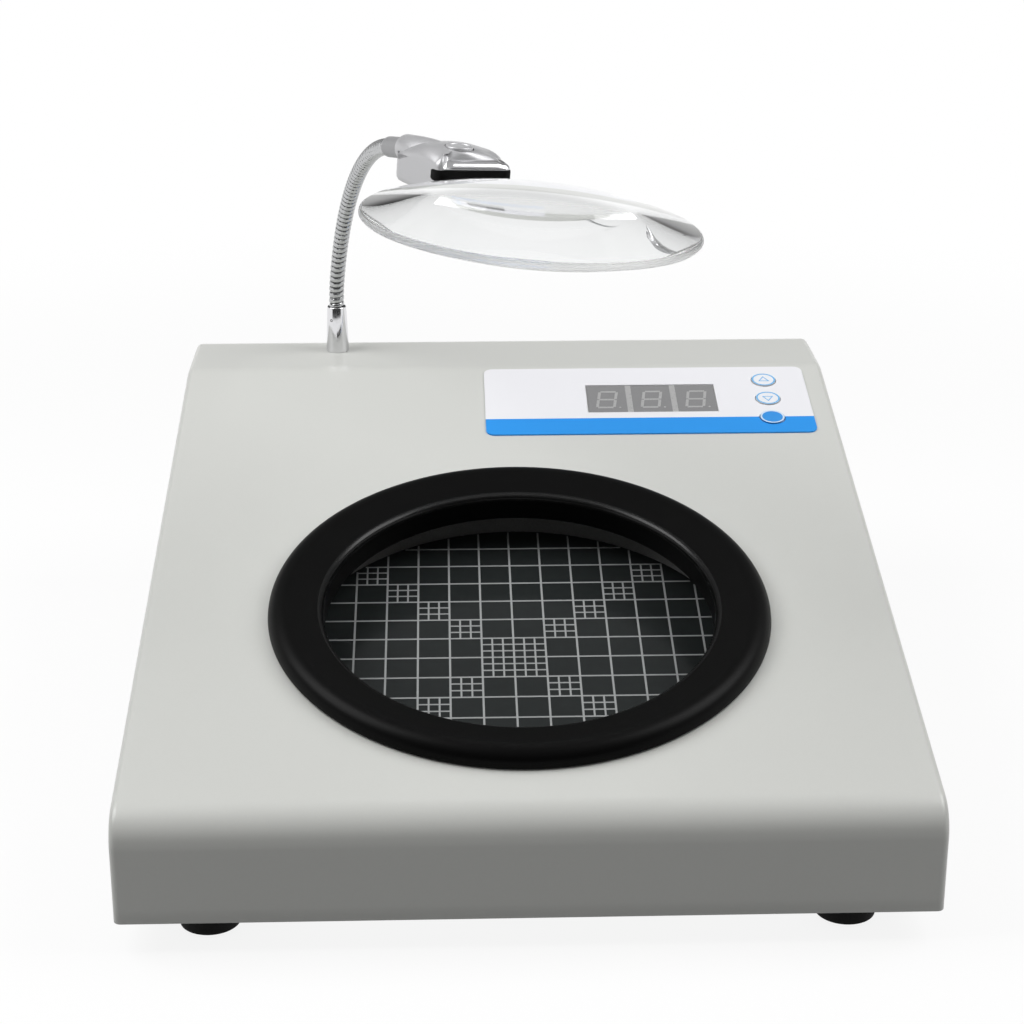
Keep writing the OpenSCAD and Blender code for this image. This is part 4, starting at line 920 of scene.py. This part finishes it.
def buildSleeve(look):
    # a tube over the end of the hose, drawn in at its mouth by a smooth step
    s = np.linspace(sleeveStart + look["start"], neckLength, look["rings"])
    taper = look["taper"] * (1 - eased(s, sleeveStart, sleeveStart + look["taperOver"]))
    outer = alongNeck(s, (look["radius"] - taper)[:, None], look["sides"])
    inner = alongNeck(s[::-1], (neck["hose"] + look["clear"] - taper[::-1])[:, None], look["sides"])
    grid = np.concatenate([outer, inner])
    faces = gridFaces(len(grid), look["sides"], True, True)
    makePiece("headSleeve", [(grid, faces)], "sleeve_grey", "head", nodes=["head_sleeve"])


buildSleeve(sleeve)

collar = {"back": 6.0, "end": (-4.5, 13.0, 3.4), "radius": 4.5, "swell": 6.0, "swellFrom": 0.1, "round": 0.6,
          "roundOver": 0.05, "rings": 24, "sides": 64}


def buildCollar(look):
    # rings along a quadratic curve from the end of the neck into the dome, wider as they go in
    t = np.linspace(0, 1, look["rings"])[:, None]
    first = (neckPoint(neckLength - look["back"]) - onHead(0.0, 0.0, 0.0) / mm) @ headAxes.T
    middle, last = np.array(head["boss"]), np.array(look["end"])
    path = (1 - t) ** 2 * first + 2 * t * (1 - t) * middle + t ** 2 * last
    ahead = unit((1 - t) * (middle - first) + t * (last - middle))
    side = unit(np.cross(ahead, worldAxes[2]))
    over = np.cross(side, ahead)

    # the first rings follow a quarter round
    near = np.clip(t / look["roundOver"], 0, 1)
    wide = look["radius"] + (look["swell"] - look["radius"]) * eased(t, look["swellFrom"], 1.0)
    wide = wide - look["round"] * (1 - np.sqrt(1 - (1 - near) ** 2))
    x, y = circle(fullTurn(look["sides"])).T[..., None]
    rings = path[:, None] + wide[:, None] * (x * side[:, None] + y * over[:, None])
    ends = np.repeat(path[[0, -1], None], look["sides"], 1)
    boss = np.concatenate([ends[:1], rings, ends[1:]])
    faces = gridFaces(len(boss), look["sides"], False, True)
    makePiece("headCollar", [(onHead(*np.moveaxis(boss, -1, 0)), faces)], "silver_plastic", "head")


buildCollar(collar)


def buildButton(look):
    # a turned button with a groove round the middle of its face
    profile = filleted([(look["radius"] * share, look["top"] - depth, corner)
                        for share, depth, corner in look["face"]])
    patches = [turned(profile, shifted(onHead, *look["at"]), look["turns"])]
    makePiece("headButton", patches, "silver_plastic", "lamp_button", nodes=["head_button"])


buildButton(button)

lens = {"edge": 1.8, "faceRadius": 152.0, "rim": 0.9, "round": 0.8, "tab": (16.0, 9.5), "tabIn": 0.25,
        "tabHeight": (-0.98, 0.18), "rings": 48, "turns": 192, "sharp": 40.0}


def buildLens(look):
    # two round faces inside a narrow flat rim, and the tab that the jaws hold
    radius, half, corner = head["lensRadius"], look["edge"] / 2, look["round"]
    flat = radius - look["rim"]
    r = np.linspace(0, flat, look["rings"])
    sink = np.sqrt(look["faceRadius"] ** 2 - radius ** 2) - half
    bulge = np.sqrt(look["faceRadius"] ** 2 - r ** 2) - sink
    rim = filleted([(flat, half, 0), (radius, half, corner), (radius, -half, corner), (flat, -half, 0)],
                   closed=False)
    profile = np.concatenate([np.c_[r, bulge], rim, np.c_[r, -bulge][::-1]])
    points, faces = turned(profile, onLens, look["turns"], False)
    row = np.arange(len(faces)) // look["turns"]
    marks = ((row >= len(r) - 1) & (row < len(r) + len(rim))).astype(int)
    middle, (wide, deep) = (head["left"] + head["right"]) / 2, look["tab"]
    left, right, near = middle - wide / 2, middle + wide / 2, -look["tabIn"]
    tab = bars([[(left, near), (right, near), (right, deep), (left, deep)]], *look["tabHeight"], onHead)
    patches = [(points, faces, marks), tab]
    makePiece("magnifier", patches, ("lens_clear", "lens_edge"), "head", nodes=["lens"], sharp=look["sharp"])


buildLens(lens)
print("lens head: shell, gasket, jaw, collar, button and lens")


# The solids that stay take the finish of their slot

for part in record["subparts"]:
    solid = frame["nodes"][part["node"]]
    solid.data.materials.clear()
    solid.data.materials.append(finishes[part["material_slot"]])


# Studio: white floor, soft sky and two softboxes

studio = {
    "floorRadius": 0.8, "floorRings": 8, "floorTurns": 64, "floorFade": (0.30, 0.75), "floorWhite": 0.93,
    "floorGlow": 0.87, "floorBounce": 0.27, "skyHeight": (0.1, 0.9), "skyLight": (0.05, 0.55),
    "backdrop": (0.14, 0.28), "card": (0.5, 0.75), "boxSize": 0.5, "boxPower": (3.7, 3.4),
    "boxes": ((-0.50, -0.04, 0.62), (0.55, -0.04, 0.65)),
}


def combined(tree, operation, first, *others):
    # several values in one, taken up in turn by math nodes
    for other in others:
        first = addNode(tree, "Math", {0: first, 1: other}, operation).outputs["Value"]
    return first


def buildFloor(look):
    # a flat disc: white to the camera, fading to the white of the background, greyer in what it gives back
    radius = np.linspace(0, look["floorRadius"], look["floorRings"]) / mm
    profile = np.c_[radius, np.zeros(len(radius))]
    points, faces = turned(profile, onGround, look["floorTurns"], False)
    mesh = bpy.data.meshes.new("floor")
    mesh.from_pydata(points.reshape(-1, 3), [], faces.tolist())
    floor = addObject("floor", mesh)
    paper = bpy.data.materials.new("paper")
    paper.use_nodes = True
    tree = paper.node_tree
    tree.nodes.remove(tree.nodes["Principled BSDF"])
    white, grey = (addNode(tree, "BsdfDiffuse", {"Color": (*[look[share]] * 3, 1)}).outputs[0]
                   for share in ("floorWhite", "floorBounce"))
    glow = addNode(tree, "Emission").outputs[0]
    place = addNode(tree, "TexCoord").outputs["Object"]
    far = addNode(tree, "VectorMath", {0: place}, "LENGTH").outputs["Value"]
    fade = ranged(tree, far, look["floorFade"], (look["floorGlow"], 1.0), "SMOOTHSTEP")
    seen = addNode(tree, "MixShader", {0: fade, 1: white, 2: glow}).outputs[0]

    # one for rays that the camera sends, straight or through gloss and glass
    path = addNode(tree, "LightPath").outputs
    rays = ("Is Camera Ray", "Is Glossy Ray", "Is Transmission Ray")
    viewed = combined(tree, "MAXIMUM", *(path[ray] for ray in rays))
    whole = addNode(tree, "MixShader", {0: viewed, 1: grey, 2: seen}).outputs[0]
    feed(tree, tree.nodes["Material Output"], {"Surface": whole})
    mesh.materials.append(paper)


def gradient(tree, direction, span, limits):
    # a smooth step between two limits along a direction of the sky
    place = addNode(tree, "TexCoord").outputs["Generated"]
    tilt = addNode(tree, "VectorMath", {0: place, 1: direction}, "DOT_PRODUCT").outputs["Value"]
    return ranged(tree, tilt, span, limits, "SMOOTHSTEP")


def buildSky(look):
    # soft light from above; plain white where the camera sees it, through glass, and low down in shiny metal
    world = bpy.data.worlds.new("studio")
    bpy.context.scene.world = world
    world.use_nodes = True
    tree = world.node_tree
    plain = tree.nodes["Background"]
    plain.inputs["Color"].default_value = (1, 1, 1, 1)
    overhead = gradient(tree, worldAxes[2], look["skyHeight"], look["skyLight"])
    soft = addNode(tree, "Background", {"Strength": overhead})
    low = gradient(tree, worldAxes[2], look["backdrop"], (1.0, 0.0))
    behind = gradient(tree, -worldAxes[1], look["card"], (1.0, 0.0))
    path = addNode(tree, "LightPath").outputs
    mirrored = combined(tree, "MULTIPLY", low, behind, path["Is Glossy Ray"])
    seen = combined(tree, "MAXIMUM", path["Is Camera Ray"], path["Is Transmission Ray"], mirrored)
    mix = addNode(tree, "MixShader", {0: seen, 1: soft.outputs[0], 2: plain.outputs[0]})
    feed(tree, tree.nodes["World Output"], {"Surface": mix.outputs[0]})


def buildSoftboxes(look):
    # square lights that face the origin and stay out of the picture
    for place, power in zip(look["boxes"], look["boxPower"]):
        light = bpy.data.lights.new("softbox", "AREA")
        light.shape = "SQUARE"
        light.size = look["boxSize"]
        light.energy = power
        lamp = addObject("softbox", light)
        lamp.location = place
        lamp.rotation_euler = (-lamp.location).to_track_quat("-Z", "Y").to_euler()
        lamp.visible_camera = False


buildFloor(studio)
buildSky(studio)
buildSoftboxes(studio)

camera = {"place": (-22.5, -687.25, 332.15), "target": (-1.79, -31.70, 87.56), "focal": 79.32, "sensor": 36.0,
          "near": 10.0}


def buildCamera(look):
    # a camera at a place, turned to face a target
    lensData = bpy.data.cameras.new("camera")
    lensData.lens = look["focal"]
    lensData.sensor_width = look["sensor"]
    lensData.clip_start = look["near"] * mm
    eye = addObject("camera", lensData)
    eye.location = Vector(look["place"]) * mm
    eye.rotation_euler = (Vector(look["target"]) - Vector(look["place"])).to_track_quat("-Z", "Y").to_euler()
    bpy.context.scene.camera = eye


buildCamera(camera)
bpy.context.scene.view_settings.view_transform = "Standard"
print("studio: floor, sky, softboxes and camera")
